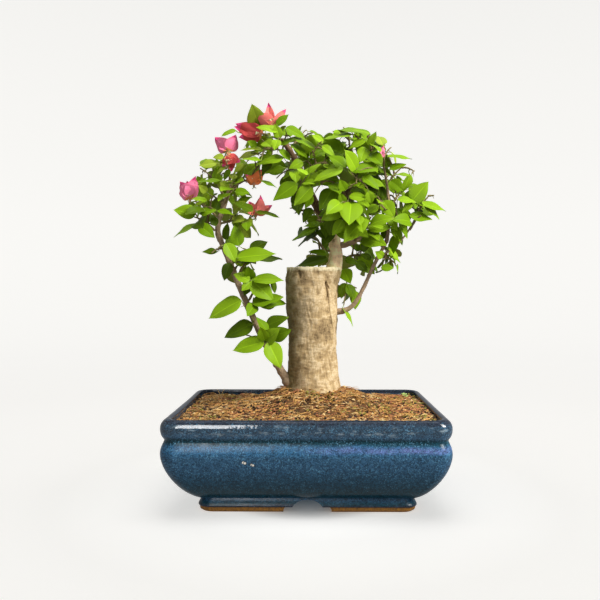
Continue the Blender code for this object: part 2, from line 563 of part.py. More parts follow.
class Tree:
    """The limbs and the foliage as they grow, with what is already standing."""

    def __init__(self, trunk_mesh):
        points = [vertex.co.copy() for vertex in trunk_mesh.vertices]
        faces = [tuple(face.vertices) for face in trunk_mesh.polygons]
        self.standing = [solid_of("trunk", points, faces)]
        self.curves = {}
        self.shapes = {}

    def tree_of(self, name):
        return next(solid.tree for solid in self.standing if solid.owner == name)

    def leave(self, host, share, outer, radius):
        """The start of a limb or stem that leaves this host towards a point outside it."""
        if host == "trunk" and share is None:
            inner = Vector((outer.x, outer.y, TRUNK_TOP.z)) - CUT_ROOT
        elif host == "trunk":
            inner = Vector((TRUNK_FOOT.x, TRUNK_FOOT.y, share))
        else:
            inner = curve_point(self.curves[host], min(share, LAST_ROOT))
        return attach(self.tree_of(host), inner, outer, radius)

    def grow_limb(self, limb):
        bends = [Vector(bend) for bend in limb.bends]
        start = self.leave(limb.host, limb.share, bends[0], limb.radius)
        controls = (start, *bends)
        path = [curve_point(controls, step / LIMB_STEPS) for step in range(LIMB_STEPS + 1)]
        spread = limb.radius - limb.tip_radius
        radii = [limb.radius - spread * step / LIMB_STEPS for step in range(LIMB_STEPS + 1)]
        shape = tube(path, radii, LIMB_SIDES, bends[0] - start)
        self.curves[limb.name] = controls
        self.shapes[limb.name] = shape
        self.standing.append(solid_of(limb.name, *shape))

    def is_clear(self, shape, owner, host=None):
        """Whether a shape touches nothing that stands, save its own twigs and its host."""
        points, faces = shape
        tested = solid_of(owner, points, faces)
        for solid in self.standing:
            if solid.owner in (owner, host):
                continue
            if (solid.centre - tested.centre).length > solid.reach + tested.reach:
                continue
            if solid.tree.overlap(tested.tree):
                return False
        return True

    def grow_stem(self, mass, owner):
        """The stem of one mass, from its limb into its space, with the bow that keeps it clear."""
        middle = Vector(mass.middle)
        outer = middle
        if mass.limb != "trunk":
            root = curve_point(self.curves[mass.limb], mass.share)
            way = middle - root
            outer = root + way.normalized() * max(STEM_SET_OUT * way.length, STEM_CLEAR)
        start = self.leave(mass.limb, mass.share, outer, STEM_RADIUS)
        tip = middle + (middle - start).normalized() * (STEM_REACH * mass.half[2])
        if mass.flowers:
            tip = middle - Vector((0, 0, FLOWER_DROP * mass.half[2]))
        for shift in STEM_SHIFTS:
            path = bowed(start, tip + Vector((0, -shift * mass.half[1], 0)), STEM_BOW + shift)
            free = twig_shape(path[1:], STEM_RADIUS, GAP)
            if self.is_clear(free, owner) and self.is_clear(twig_shape(path, STEM_RADIUS), owner):
                return path
        raise RuntimeError(f"{mass.name} has no clear way for its stem")

    def grow_twigs(self, mass):
        """The stem and side twigs of one mass, which keep clear of all that stands."""
        draw = random.Random(mass.seed)
        owner = "foliage_" + mass.name
        phase = draw.uniform(0, math.tau)
        stem = self.grow_stem(mass, owner)
        twigs = [stem]
        self.standing.append(solid_of(owner, *twig_shape(stem, STEM_RADIUS)))
        for index in range(mass.twigs):
            rise = (LAST_TWIG - FIRST_TWIG) * index / max(mass.twigs - 1, 1)
            place, along = on_path(stem, FIRST_TWIG + rise)
            azimuth = phase + TWIG_PHASE + index * TWIG_TURN + draw.uniform(-TWIG_STRAY, TWIG_STRAY)
            way = opened(along, azimuth, TWIG_OPENING)
            way.z += TWIG_LIFT
            reach = TWIG_LENGTH * (mass.half[0] + mass.half[2]) / 2 * draw.uniform(*TWIG_LENGTHS)
            path = bowed(place, place + way.normalized() * reach, STEM_BOW)
            inside = in_space(mass, [path[-1]])
            if inside and self.is_clear(twig_shape(path, TWIG_RADIUS, GAP), owner):
                twigs.append(path)
                self.standing.append(solid_of(owner, *twig_shape(path, TWIG_RADIUS)))
        return draw, phase, twigs

    def grow_leaves(self, mass, draw, phase, twigs):
        """The flowers and leaves of one mass, set round its twigs."""
        owner = "foliage_" + mass.name
        grown = self.grow_flowers(mass, draw, twigs)
        for rank, path in enumerate(twigs):
            count = mass.leaves if rank == 0 else TWIG_LEAVES
            first = FIRST_LEAF if rank == 0 else FIRST_TWIG_LEAF
            while first < LAST_START and not in_space(mass, [on_path(path, first)[0]]):
                first += START_STEP
            for index in range(count):
                share = first + (1 - first) * index / max(count - 1, 1)
                place, along = on_path(path, share)
                at_tip = index == count - 1 and not (rank < mass.flowers)
                leaf = self.place_leaf(draw, mass, owner, place, along,
                                       phase + rank + index * GOLDEN_ANGLE, share, at_tip)
                if leaf:
                    grown.append(leaf)
        return grown

    def place_leaf(self, draw, mass, owner, place, along, azimuth, share, at_tip):
        """A leaf in the mass's space that clears everything, or None after a few tries."""
        away = Vector((place.x - TRUNK_TOP.x, place.y - CROWN_AXIS_Y, 0)).normalized()
        for attempt in range(LEAF_TRIES):
            turned = azimuth + attempt * RETRY_TURN
            opening = LEAF_OPENING * draw.uniform(*LEAF_OPENINGS) * (TIP_OPENING if at_tip else 1.0)
            axis = opened(along, turned, opening)
            axis.z -= LEAF_SAG * draw.uniform(*LEAF_SAGS)
            axis.normalize()
            size = mass.size * draw.uniform(*LEAF_SIZES) * (1 - SMALLER_TO_TIP * share)
            size *= LEAF_RETRY ** attempt
            normal = LEAF_FACING + away * LEAF_SPREAD
            normal = (normal - axis * normal.dot(axis)).normalized()
            normal.rotate(Matrix.Rotation(draw.uniform(*LEAF_ROLLS), 3, axis))
            base = place + axis * (STALK_LENGTH * size)
            width = LEAF_WIDTH * draw.uniform(*LEAF_WIDTHS)
            droop = math.radians(draw.uniform(*LEAF_DROOPS))
            fold = math.radians(draw.uniform(*LEAF_FOLDS))
            leaf = Leaf(place, base, axis, normal, size, width, droop, fold, "leaf")
            blade = leaf_shape(leaf, 0.0, blade_only=True)[0]
            if in_space(mass, blade) and self.stands_clear(leaf, owner):
                return leaf
        return None

    def stands_clear(self, leaf, owner):
        """Adds the leaf to what stands, if it clears everything but its own twigs."""
        if not self.is_clear(leaf_shape(leaf, LEAF_CLEARANCE), owner):
            return False
        blade = leaf_shape(leaf, LEAF_CLEARANCE, blade_only=True)
        if not self.is_clear(blade, None):
            return False
        self.standing.append(solid_of(owner, *leaf_shape(leaf, 0.0)))
        return True

    def grow_flowers(self, mass, draw, twigs):
        """Three bracts at the tip of the stem, and of the first twig for a second flower."""
        owner = "foliage_" + mass.name
        bracts = []
        for index in range(mass.flowers):
            path = twigs[min(index, len(twigs) - 1)]
            place, along = on_path(path, 1.0)
            lean = (along + FLOWER_LEAN).normalized()
            phase = draw.uniform(0, math.tau)
            for petal in range(BRACTS):
                opening = BRACT_OPENING * draw.uniform(*BRACT_OPENINGS)
                axis = opened(lean, phase + petal * math.tau / BRACTS, opening)
                normal = (lean - axis * lean.dot(axis)).normalized()
                size = BRACT_LENGTH * draw.uniform(*BRACT_LENGTHS)
                width = BRACT_WIDTH * draw.uniform(*BRACT_WIDTHS)
                bract = Leaf(place, place + axis * BRACT_STALK, axis, normal, size, width,
                             BRACT_DROOP, BRACT_FOLD, "bract")
                if self.is_clear(leaf_shape(bract, LEAF_CLEARANCE), owner):
                    bracts.append(bract)
        for bract in bracts:
            self.standing.append(solid_of(owner, *leaf_shape(bract, 0.0)))
        return bracts


def in_space(mass, points):
    """Whether all these points lie in the mass's own ellipsoid."""
    for point in points:
        offset = point - Vector(mass.middle)
        if sum(abs(offset[i] / mass.half[i]) ** SPACE_SQUARENESS for i in range(3)) > SPACE_EASE:
            return False
    return True


def twig_shape(path, radius, extra=0.0):
    """A three-sided twig that tapers along its path."""
    return tube(path, tapered(radius + extra, TIP_RADIUS + extra, len(path)), 3)


def tapered(first, last, count):
    """Radii from first to last in even steps."""
    return [first + (last - first) * i / (count - 1) for i in range(count)]


def bowed(start, end, bow):
    """A path from start to end that rises a little in between."""
    lift = Vector((0, 0, bow * (end - start).length))
    shares = [i / STEM_STEPS for i in range(STEM_STEPS + 1)]
    return [start.lerp(end, share) + lift * (4 * share * (1 - share)) for share in shares]


def on_path(path, share):
    """The place at a share of a path, and the direction there."""
    place = share * (len(path) - 1)
    index = min(int(place), len(path) - 2)
    step = path[index + 1] - path[index]
    return path[index] + step * (place - index), step.normalized()


def opened(along, azimuth, opening):
    """A direction opened out from another by an angle, turned round it by the azimuth."""
    reference = Vector((0, 0, 1)) if abs(along.z) < 0.9 else Vector((1, 0, 0))
    across = along.cross(reference).normalized()
    other = along.cross(across)
    side = across * math.cos(azimuth) + other * math.sin(azimuth)
    return along * math.cos(opening) + side * math.sin(opening)


def oval(share):
    """A leaf's width at a share of its length, from 0 to 1: round-based and long-pointed."""
    widest = OVAL_PEAK ** OVAL_BASE * (1 - OVAL_PEAK) ** OVAL_TIP
    return share ** OVAL_BASE * (1 - share) ** OVAL_TIP / widest


def leaf_section(leaf, share, extra=0.0):
    """Left edge, right edge and keel of a leaf at a share of its length."""
    turn = leaf.droop * share
    if abs(leaf.droop) > 1e-4:
        along = leaf.length * math.sin(turn) / leaf.droop
        down = leaf.length * (1 - math.cos(turn)) / leaf.droop
    else:
        along, down = leaf.length * share, 0.0
    centre = leaf.base + leaf.axis * along - leaf.normal * down
    lift = leaf.normal * math.cos(turn) + leaf.axis * math.sin(turn)
    side = leaf.axis.cross(leaf.normal)
    half = max(oval(share) * leaf.width * leaf.length / 2, STALK_RADIUS) + extra
    rise = lift * (half * math.sin(leaf.fold) + extra)
    spread = side * (half * math.cos(leaf.fold))
    keel = lift * (LEAF_THICKNESS * (1 - 0.5 * share) + extra)
    return [centre + rise - spread, centre + rise + spread, centre - keel], centre, lift


def leaf_shape(leaf, extra, blade_only=False):
    """Points and faces of a leaf: a three-sided stalk that opens into a keeled blade."""
    sections = [leaf_section(leaf, share, extra)[0] for share in LEAF_SECTIONS]
    if not blade_only:
        back = leaf.base - leaf.root
        sections.insert(0, [corner - back for corner in sections[0]])
    _, tip, _ = leaf_section(leaf, 1.0)
    points = [corner for section in sections for corner in section]
    points.append(tip + leaf.axis * extra)
    last = 3 * (len(sections) - 1)
    faces = [(0, 2, 1)]
    for row in range(0, last, 3):
        faces += [(row + i, row + (i + 1) % 3, row + 3 + (i + 1) % 3, row + 3 + i) for i in range(3)]
    faces += [(last + i, last + (i + 1) % 3, len(points) - 1) for i in range(3)]
    return points, faces


def fuse(name, stem, others, finish):
    """One solid from a stem and the twigs and leaves sunk into it."""
    body = add_object(name, *stem, finish, smooth=False)
    spare = bpy.data.collections.new(name + "_parts")
    bpy.context.scene.collection.children.link(spare)
    for number, (points, faces) in enumerate(others):
        piece = add_object(f"{name}_{number}", points, faces, finish, smooth=False)
        bpy.context.scene.collection.objects.unlink(piece)
        spare.objects.link(piece)
    union = body.modifiers.new("union", "BOOLEAN")
    union.operation = "UNION"
    union.operand_type = "COLLECTION"
    union.collection = spare
    for solver in ("EXACT", "MANIFOLD"):
        union.solver = solver
        graph = bpy.context.evaluated_depsgraph_get()
        fused = bpy.data.meshes.new_from_object(body.evaluated_get(graph))
        keep_largest(fused)
        if is_closed(fused):
            break
    body.modifiers.clear()
    body.data = fused
    for piece in list(spare.objects):
        bpy.data.objects.remove(piece)
    bpy.data.collections.remove(spare)
    return body


def is_closed(mesh):
    """Whether every edge of a mesh lies between two faces."""
    shape = bmesh.new()
    shape.from_mesh(mesh)
    closed = bool(shape.faces) and all(edge.is_manifold for edge in shape.edges)
    shape.free()
    return closed


def keep_largest(mesh):
    """Drops loose scraps and sealed hollows, so that one closed body is left."""
    shape = bmesh.new()
    shape.from_mesh(mesh)
    groups = []
    seen = set()
    for face in shape.faces:
        if face in seen:
            continue
        group, waiting = [], [face]
        seen.add(face)
        while waiting:
            current = waiting.pop()
            group.append(current)
            around = {other for edge in current.edges for other in edge.link_faces}
            waiting += around - seen
            seen |= around
        groups.append(group)
    groups.sort(key=len)
    scraps = [face for group in groups[:-1] for face in group]
    bmesh.ops.delete(shape, geom=scraps, context="FACES")
    shape.to_mesh(mesh)
    shape.free()


def main():
    for leftover in list(bpy.data.objects):
        bpy.data.objects.remove(leftover)
    add_pot()
    add_feet()
    add_soil()
    trunk = add_trunk()
    tree = Tree(trunk.data)
    for limb in LIMBS:
        tree.grow_limb(limb)
        add_object(limb.name, *tree.shapes[limb.name], "young_bark")
    shoots = [(mass, *tree.grow_twigs(mass)) for mass in MASSES]
    for mass, draw, phase, twigs in shoots:
        leaves = tree.grow_leaves(mass, draw, phase, twigs)
        stem, *others = [twig_shape(path, TWIG_RADIUS if rank else STEM_RADIUS)
                         for rank, path in enumerate(twigs)]
        others += [leaf_shape(leaf, 0.0) for leaf in leaves]
        fuse("foliage_" + mass.name, stem, others, "leaf")


if __name__ == "__main__":
    main()
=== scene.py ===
"""Looks of a bougainvillea bonsai in its glazed pot, laid out as a Blender add-on.

Metres, +Z up, -Y to the front.  The pot, the soil, the bark, the twigs, the leaves and the
blossom are fine meshes that stand for the plain solids of the packed model.  The foliage
grows by the solids' own rule from the same seeds, so each leaf stands where its solid does.
Finer twigs with smaller leaves then fill what is left of each mass's space, and the leaves and
the blossom that stand out at the front are set where the photograph shows them.
"""

import functools
import math
import random
from collections import namedtuple

import bmesh
import bpy
from bpy.props import FloatProperty, FloatVectorProperty, IntProperty, PointerProperty
from mathutils import Matrix, Vector, noise
from mathutils.bvhtree import BVHTree


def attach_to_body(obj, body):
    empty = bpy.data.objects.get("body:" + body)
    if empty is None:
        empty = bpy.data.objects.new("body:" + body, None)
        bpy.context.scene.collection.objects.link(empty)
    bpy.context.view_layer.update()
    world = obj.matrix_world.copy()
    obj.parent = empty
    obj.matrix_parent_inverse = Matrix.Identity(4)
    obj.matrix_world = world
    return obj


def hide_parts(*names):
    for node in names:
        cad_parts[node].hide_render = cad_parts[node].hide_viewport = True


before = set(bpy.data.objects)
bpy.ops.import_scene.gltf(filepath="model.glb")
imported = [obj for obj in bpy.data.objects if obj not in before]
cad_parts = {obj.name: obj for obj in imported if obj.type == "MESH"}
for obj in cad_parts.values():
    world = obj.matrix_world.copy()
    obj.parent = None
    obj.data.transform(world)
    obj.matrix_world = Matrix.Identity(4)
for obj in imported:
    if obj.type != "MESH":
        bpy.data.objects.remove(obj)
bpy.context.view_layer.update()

bl_info = {
    "name": "Bougainvillea bonsai",
    "version": (1, 0, 0),
    "blender": (4, 5, 0),
    "location": "View3D > Sidebar > Bonsai",
    "description": "Makes a bougainvillea bonsai in a glazed pot, on a pale stage",
    "category": "Object",
}

BODY = "root"

# Clearances between neighbouring solids
GAP = 0.0003
LEAF_CLEARANCE = 0.0005
# Rays that feel for the host's surface, round a root and at these shares of its radius
ROOT_RAYS = 16
ROOT_SHARES = (0.4, 0.7, 0.9, 1.1, 1.25)

# Pot: the widest section, over the lip and the belly
POT_HALF_X = 0.104
POT_HALF_Y = 0.078
POT_CORNER = 0.011
SMALLEST_CORNER = 0.005
CORNER_TAPER = 0.20
POT_TOP = 0.0702
POT_UNDERSIDE = 0.0104
POT_FLOOR = 0.0184
DEPTH_SHARE = 0.9
BELLY_HEIGHT = 0.044
BELLY_TUCK = 0.027
BELLY_ROUNDNESS = 1.55
BELLY_CROWDING = 1.4
SHOULDER_ROUNDNESS = 2.4
GROOVE_HEIGHT = 0.0553
GROOVE_DEPTH = 0.0036
LIP_HEIGHT = 0.0635
RIM_ROUNDING = 0.0050
RIM_EASING = 0.0002
RIM_EDGE = 0.0018

# Feet: four L-shaped corners of one ring, with an arch between each pair
FOOT_HALF_X = 0.0805
FOOT_HALF_Y = 0.0600
FOOT_CORNER = 0.009
FOOT_WIDTH = 0.015
FOOT_ARCH_X = 0.018
FOOT_ARCH_Y = 0.016
FOOT_TOP = POT_UNDERSIDE - GAP
FOOT_FLARE = ((0.0, 0.0012), (0.0016, 0.0004), (0.0050, 0.0), (FOOT_TOP, 0.0022))

# Soil: level at the rim, mounded up to the trunk
SOIL_EDGE = 0.0640
SOIL_MOUND = 0.0200
SOIL_SPREAD_X = 0.040
SOIL_SPREAD_Y = 0.032
LUMP_HEIGHT = 0.0007
LUMPS_X = 310
LUMPS_Y = 270
LUMPS_SHIFT = 1.3

# Trunk: a stump cut flat at the top, with a collar where each bough leaves it
TRUNK_FOOT = Vector((0.0068, 0.0, 0.0808))
TRUNK_TOP = Vector((0.0046, 0.0, 0.1806))
TRUNK_RADIUS = 0.0203
TRUNK_SIDES = 20
TRUNK_RINGS = 11
TRUNK_WAIST = 0.05
TRUNK_SWELL = 0.035
# how far it stands out, lobes round the trunk, how far they twist on the way up
RIBS = ((0.0006, 3, 9), (0.0004, 5, -14))
ROOT_FLARE = 0.0022
ROOT_FLARE_HEIGHT = 0.012
# azimuth in degrees, height, how far it stands out, its half angle, its half height
COLLARS = (
    (4.0, 0.1806, 0.0072, 30.0, 0.026),
    (-6.0, 0.1430, 0.0022, 18.0, 0.010),
    (198.0, 0.0890, 0.0034, 22.0, 0.010),
    (180.0, 0.1720, 0.0022, 45.0, 0.030),
)

Limb = namedtuple("Limb", "name host share bends radius tip_radius")
# The bends are the curve's two middle points and its tip.
LIMBS = (
    Limb("bough_left_lower", "trunk", 0.0805,
         ((-0.0285, -0.009, 0.101), (-0.0475, -0.012, 0.149), (-0.0705, -0.008, 0.204)),
         0.0039, 0.0028),
    Limb("bough_left_upper", "bough_left_lower", 1.0,
         ((-0.0755, -0.007, 0.216), (-0.066, -0.003, 0.227), (-0.0625, -0.002, 0.249)),
         0.0029, 0.0021),
    Limb("bough_upper_foot", "trunk", None,
         ((0.0265, 0.004, 0.196), (0.0225, 0.005, 0.208), (0.0145, 0.006, 0.2185)),
         0.0076, 0.0048),
    Limb("bough_upper_left", "bough_upper_foot", 1.0,
         ((0.004, 0.008, 0.233), (-0.003, 0.004, 0.262), (-0.020, 0.0, 0.283)),
         0.0046, 0.0026),
    Limb("bough_crown", "bough_upper_foot", 0.70,
         ((0.0300, 0.007, 0.222), (0.0335, 0.009, 0.244), (0.0360, 0.006, 0.266)),
         0.0036, 0.0020),
    Limb("bough_crown_right", "bough_upper_foot", 0.42,
         ((0.0370, -0.001, 0.2000), (0.0480, -0.003, 0.2070), (0.0575, -0.004, 0.2160)),
         0.0031, 0.0017),
    Limb("bough_back", "bough_upper_foot", 0.55,
         ((0.0260, 0.024, 0.208), (0.0270, 0.034, 0.222), (0.0240, 0.038, 0.244)),
         0.0031, 0.0018),
    Limb("bough_right_lower", "trunk", 0.1425,
         ((0.0420, -0.005, 0.147), (0.0460, -0.006, 0.172), (0.0640, -0.006, 0.202)),
         0.0030, 0.0024),
    Limb("bough_right_upper", "bough_right_lower", 1.0,
         ((0.0672, -0.006, 0.221), (0.0650, -0.004, 0.244), (0.0612, -0.003, 0.262)),
         0.0023, 0.0014),
    Limb("bough_right_side", "bough_right_lower", 0.84,
         ((0.0750, -0.012, 0.199), (0.0830, -0.011, 0.212), (0.0890, -0.009, 0.227)),
         0.0019, 0.0012),
)
LIMB_SIDES = 8
LIMB_STEPS = 8
# The top bough is rooted this far inside the cut, and a shoot at a limb's tip just short of it
CUT_ROOT = Vector((0.0008, 0.0006, 0.006))
LAST_ROOT = 0.985

Mass = namedtuple("Mass", "name limb share middle half twigs leaves size flowers seed")
# Each mass keeps to a rounded space, given by its middle and its half sizes.  The stem
# leaves the limb at a share of its length (on the trunk, at a height), leaves counts those
# on the stem, and size is the length of a full-grown blade.
MASSES = (
    Mass("left_1", "bough_left_lower", 0.36, (-0.0355, -0.016, 0.118),
         (0.0235, 0.025, 0.019), 1, 6, 0.029, 0, 5),
    Mass("left_2", "bough_left_lower", 0.52, (-0.045, -0.018, 0.1415),
         (0.0325, 0.025, 0.0175), 1, 6, 0.032, 0, 9),
    Mass("left_3", "bough_left_lower", 0.66, (-0.0395, -0.014, 0.164),
         (0.024, 0.024, 0.015), 1, 5, 0.028, 0, 11),
    Mass("left_4", "bough_left_lower", 0.80, (-0.0425, -0.014, 0.190),
         (0.025, 0.025, 0.016), 1, 5, 0.032, 0, 13),
    Mass("left_5", "bough_left_lower", 0.93, (-0.0675, -0.019, 0.1945),
         (0.0165, 0.025, 0.0155), 1, 5, 0.025, 0, 6),
    Mass("left_6", "bough_left_upper", 0.12, (-0.0855, -0.012, 0.217),
         (0.023, 0.025, 0.017), 1, 6, 0.029, 0, 13),
    Mass("left_7", "bough_left_upper", 0.40, (-0.0905, -0.008, 0.2395),
         (0.0145, 0.023, 0.016), 1, 4, 0.022, 1, 16),
    Mass("left_8", "bough_left_upper", 0.30, (-0.048, -0.010, 0.222),
         (0.017, 0.025, 0.017), 1, 5, 0.024, 1, 8),
    Mass("left_9", "bough_left_upper", 0.78, (-0.084, 0.004, 0.2575),
         (0.0145, 0.023, 0.0155), 1, 5, 0.020, 0, 5),
    Mass("left_10", "bough_left_upper", 1.0, (-0.064, -0.004, 0.272),
         (0.015, 0.024, 0.018), 1, 4, 0.018, 2, 1),
    Mass("left_11", "bough_left_upper", 0.90, (-0.042, 0.004, 0.2595),
         (0.0205, 0.025, 0.0175), 2, 5, 0.022, 1, 1),
    Mass("left_12", "bough_left_upper", 0.66, (-0.0595, -0.014, 0.2415),
         (0.015, 0.022, 0.013), 1, 4, 0.020, 0, 3),
    Mass("left_back", "bough_left_upper", 0.50, (-0.0715, 0.020, 0.240),
         (0.023, 0.025, 0.023), 1, 5, 0.024, 0, 4),
    Mass("left_low_back", "bough_left_lower", 0.82, (-0.062, 0.010, 0.1785),
         (0.0205, 0.025, 0.0205), 1, 5, 0.026, 0, 5),
    Mass("top_1", "bough_upper_left", 1.0, (-0.0335, -0.004, 0.2925),
         (0.023, 0.026, 0.018), 2, 5, 0.020, 2, 4),
    Mass("top_2", "bough_upper_left", 0.90, (-0.006, 0.006, 0.2845),
         (0.0195, 0.028, 0.0155), 2, 5, 0.024, 0, 6),
    Mass("top_3", "bough_upper_left", 0.80, (-0.028, -0.012, 0.2725),
         (0.019, 0.025, 0.019), 2, 5, 0.024, 0, 13),
    Mass("top_4", "bough_upper_left", 0.66, (-0.0145, 0.020, 0.261),
         (0.023, 0.028, 0.023), 1, 5, 0.026, 0, 6),
    Mass("top_5", "bough_upper_left", 0.42, (-0.010, -0.014, 0.2395),
         (0.020, 0.026, 0.019), 1, 5, 0.028, 0, 11),
    Mass("top_6", "bough_upper_left", 0.18, (-0.004, 0.010, 0.2265),
         (0.0195, 0.024, 0.0165), 2, 5, 0.027, 0, 6),
    Mass("top_7", "bough_upper_left", 0.62, (0.006, -0.012, 0.2595),
         (0.021, 0.026, 0.018), 2, 5, 0.028, 0, 1),
    Mass("mid_1", "bough_crown", 1.0, (0.0335, 0.000, 0.282),
         (0.0245, 0.026, 0.015), 2, 5, 0.028, 0, 7),
    Mass("mid_2", "bough_crown", 0.78, (0.015, 0.026, 0.277),
         (0.0235, 0.028, 0.019), 1, 5, 0.028, 0, 11),
    Mass("mid_3", "bough_crown", 0.88, (0.051, -0.008, 0.2725),
         (0.018, 0.026, 0.017), 2, 5, 0.026, 0, 18),
    Mass("mid_4", "bough_crown", 0.58, (0.0175, -0.018, 0.245),
         (0.0205, 0.027, 0.0205), 1, 6, 0.030, 0, 2),
    Mass("mid_5", "bough_crown", 0.48, (0.039, -0.022, 0.250),
         (0.0215, 0.027, 0.0205), 2, 6, 0.030, 0, 12),
    Mass("mid_6", "bough_crown", 0.30, (0.031, -0.026, 0.224),
         (0.0215, 0.026, 0.0195), 2, 6, 0.030, 0, 8),
    Mass("mid_7", "bough_crown", 0.70, (0.0465, 0.024, 0.262),
         (0.0235, 0.028, 0.0235), 1, 6, 0.028, 0, 13),
    Mass("low_1", "bough_upper_foot", 0.90, (0.008, -0.006, 0.2065),
         (0.022, 0.025, 0.012), 2, 6, 0.028, 0, 13),
    Mass("low_2", "bough_upper_foot", 0.30, (0.0055, 0.022, 0.193),
         (0.019, 0.025, 0.0115), 2, 5, 0.027, 0, 5),
    Mass("low_3", "bough_upper_foot", 0.16, (0.044, 0.018, 0.1895),
         (0.018, 0.026, 0.017), 2, 5, 0.026, 0, 11),
    Mass("low_4", "trunk", 0.165, (0.034, 0.010, 0.164),
         (0.0125, 0.025, 0.0185), 0, 5, 0.024, 0, 4),
    Mass("low_5", "bough_crown_right", 0.30, (0.0445, -0.024, 0.209),
         (0.0215, 0.025, 0.0165), 2, 5, 0.027, 0, 1),
    Mass("right_1", "bough_crown_right", 1.0, (0.0625, -0.020, 0.219),
         (0.0165, 0.026, 0.0165), 2, 5, 0.028, 0, 18),
    Mass("right_3", "bough_right_upper", 1.0, (0.061, -0.008, 0.2715),
         (0.012, 0.025, 0.016), 1, 5, 0.022, 0, 17),
    Mass("right_4", "bough_right_upper", 0.74, (0.0745, -0.004, 0.258),
         (0.018, 0.026, 0.016), 2, 5, 0.026, 0, 12),
    Mass("right_5", "bough_right_upper", 0.40, (0.076, 0.006, 0.240),
         (0.0205, 0.026, 0.0185), 2, 5, 0.028, 0, 14),
    Mass("right_6", "bough_right_side", 1.0, (0.095, -0.010, 0.234),
         (0.016, 0.025, 0.016), 2, 5, 0.026, 0, 11),
    Mass("right_7", "bough_right_side", 0.50, (0.085, -0.016, 0.2155),
         (0.0205, 0.026, 0.017), 1, 6, 0.027, 0, 7),
    Mass("right_8", "bough_right_lower", 0.86, (0.0675, 0.002, 0.1855),
         (0.012, 0.025, 0.0155), 1, 5, 0.021, 0, 3),
    Mass("back_1", "bough_back", 1.0, (0.013, 0.046, 0.2655),
         (0.0285, 0.028, 0.033), 2, 7, 0.030, 0, 5),
    Mass("back_2", "bough_back", 0.55, (0.044, 0.044, 0.241),
         (0.0285, 0.028, 0.0285), 2, 7, 0.030, 0, 14),
    Mass("back_3", "bough_right_upper", 0.20, (0.064, 0.026, 0.247),
         (0.0235, 0.028, 0.0275), 1, 6, 0.028, 0, 8),
)

# How a shoot branches
STEM_RADIUS = 0.0010
TWIG_RADIUS = 0.0008
TIP_RADIUS = 0.0006
STEM_BOW = 0.10
STEM_STEPS = 3
STEM_REACH = 0.4
STEM_SET_OUT = 0.6
STEM_CLEAR = 0.008
STEM_SHIFTS = (0.0, 0.12, -0.12, 0.24, -0.24, 0.4, -0.4, 0.6)
FLOWER_DROP = 0.4
FIRST_TWIG = 0.30
LAST_TWIG = 0.75
TWIG_LENGTH = 0.75
TWIG_LENGTHS = (0.8, 1.15)
TWIG_OPENING = math.radians(62.0)
TWIG_PHASE = math.radians(115.0)
TWIG_TURN = math.radians(162.0)
TWIG_STRAY = math.radians(23.0)
TWIG_LIFT = 0.15
TWIG_LEAVES = 3
SPACE_SQUARENESS = 3
SPACE_EASE = 1.3

# How leaves stand on it: each pair of numbers is the range of a seeded draw
FIRST_LEAF = 0.15
FIRST_TWIG_LEAF = 0.35
LAST_START = 0.9
START_STEP = 0.05
GOLDEN_ANGLE = math.radians(137.5)
LEAF_TRIES = 14
LEAF_RETRY = 0.975
RETRY_TURN = 0.7
LEAF_SIZES = (0.80, 1.12)
SMALLER_TO_TIP = 0.22
LEAF_OPENING = math.radians(62.0)
LEAF_OPENINGS = (0.75, 1.25)
TIP_OPENING = 0.35
LEAF_SAG = 0.42
LEAF_SAGS = (0.1, 1.6)
LEAF_FACING = Vector((0.10, -0.80, 0.48))
LEAF_SPREAD = 0.40
LEAF_ROLLS = (-0.5, 0.5)
CROWN_AXIS_Y = 0.004

# A leaf: a pointed oval on a stalk, folded along its midrib and drooping to its tip
LEAF_WIDTH = 0.66
LEAF_WIDTHS = (0.88, 1.12)
LEAF_DROOPS = (12, 48)
LEAF_FOLDS = (8, 24)
STALK_LENGTH = 0.22
STALK_RADIUS = 0.0004
LEAF_THICKNESS = 0.0006
OVAL_BASE = 0.60
OVAL_TIP = 1.25
LEAF_SECTIONS = (0.0, 0.36)

# A flower: three papery bracts that stand round its stalk like a cup
BRACTS = 3
BRACT_LENGTH = 0.020
BRACT_LENGTHS = (0.85, 1.1)
BRACT_WIDTH = 0.86
BRACT_WIDTHS = (0.9, 1.1)
BRACT_STALK = 0.0035
BRACT_OPENING = math.radians(40.0)
BRACT_OPENINGS = (0.8, 1.2)
BRACT_DROOP = math.radians(-18.0)
BRACT_FOLD = math.radians(20.0)
FLOWER_LEAN = Vector((0.0, -0.2, 0.9))

# Fine mesh of the pot
FINE_CORNER = 14
FINE_SIDES = (46, 34)
FINE_BELLY = 26
FINE_SHOULDER = 10
FINE_LIP = 8
FINE_RIM = 9
FINE_INSIDE = 14
GROOVE_EASING = 5
RIM_EDGE_STEPS = 4
GLAZE_RIPPLE = 0.00022
GLAZE_RIPPLE_SPACING = 0.013

# Feet: glazed down to the bare sole, where the glaze ends in a rolled edge
SOLE_HEIGHT = 0.0046
# The belly runs on a little below its solid, and the rim and the wall below it are slimmer
BELLY_FLOOR = 0.0082
RIM_WIDTH_SEEN = 0.0012
WALL_SEEN = 0.0072
# An arch is narrower between the glazed ends of the feet than between their bare soles
GLAZED_ARCH = 0.64
SOLE_ARCH = 0.95
SOIL_SIDE_RISE = 0.0016
SOIL_RISE_FROM = 0.70
SOLE_INSET = 0.0003
GLAZE_ROLL = 0.0004
GLAZE_ROLL_HEIGHT = 0.0008
# The glaze and the bare clay run this far into each other
SOLE_OVERLAP = 0.0006
FOOT_LEVELS = 18
FOOT_LEVELS_ABOVE = 4
FOOT_CORNER_STEPS = 8
FOOT_EASING = 0.0006
FOOT_EASING_HEIGHT = 0.0012
FOOT_SINK = 0.0030
ARCH_CROWN = 0.0090
ARCH_ROUNDNESS = 2.4

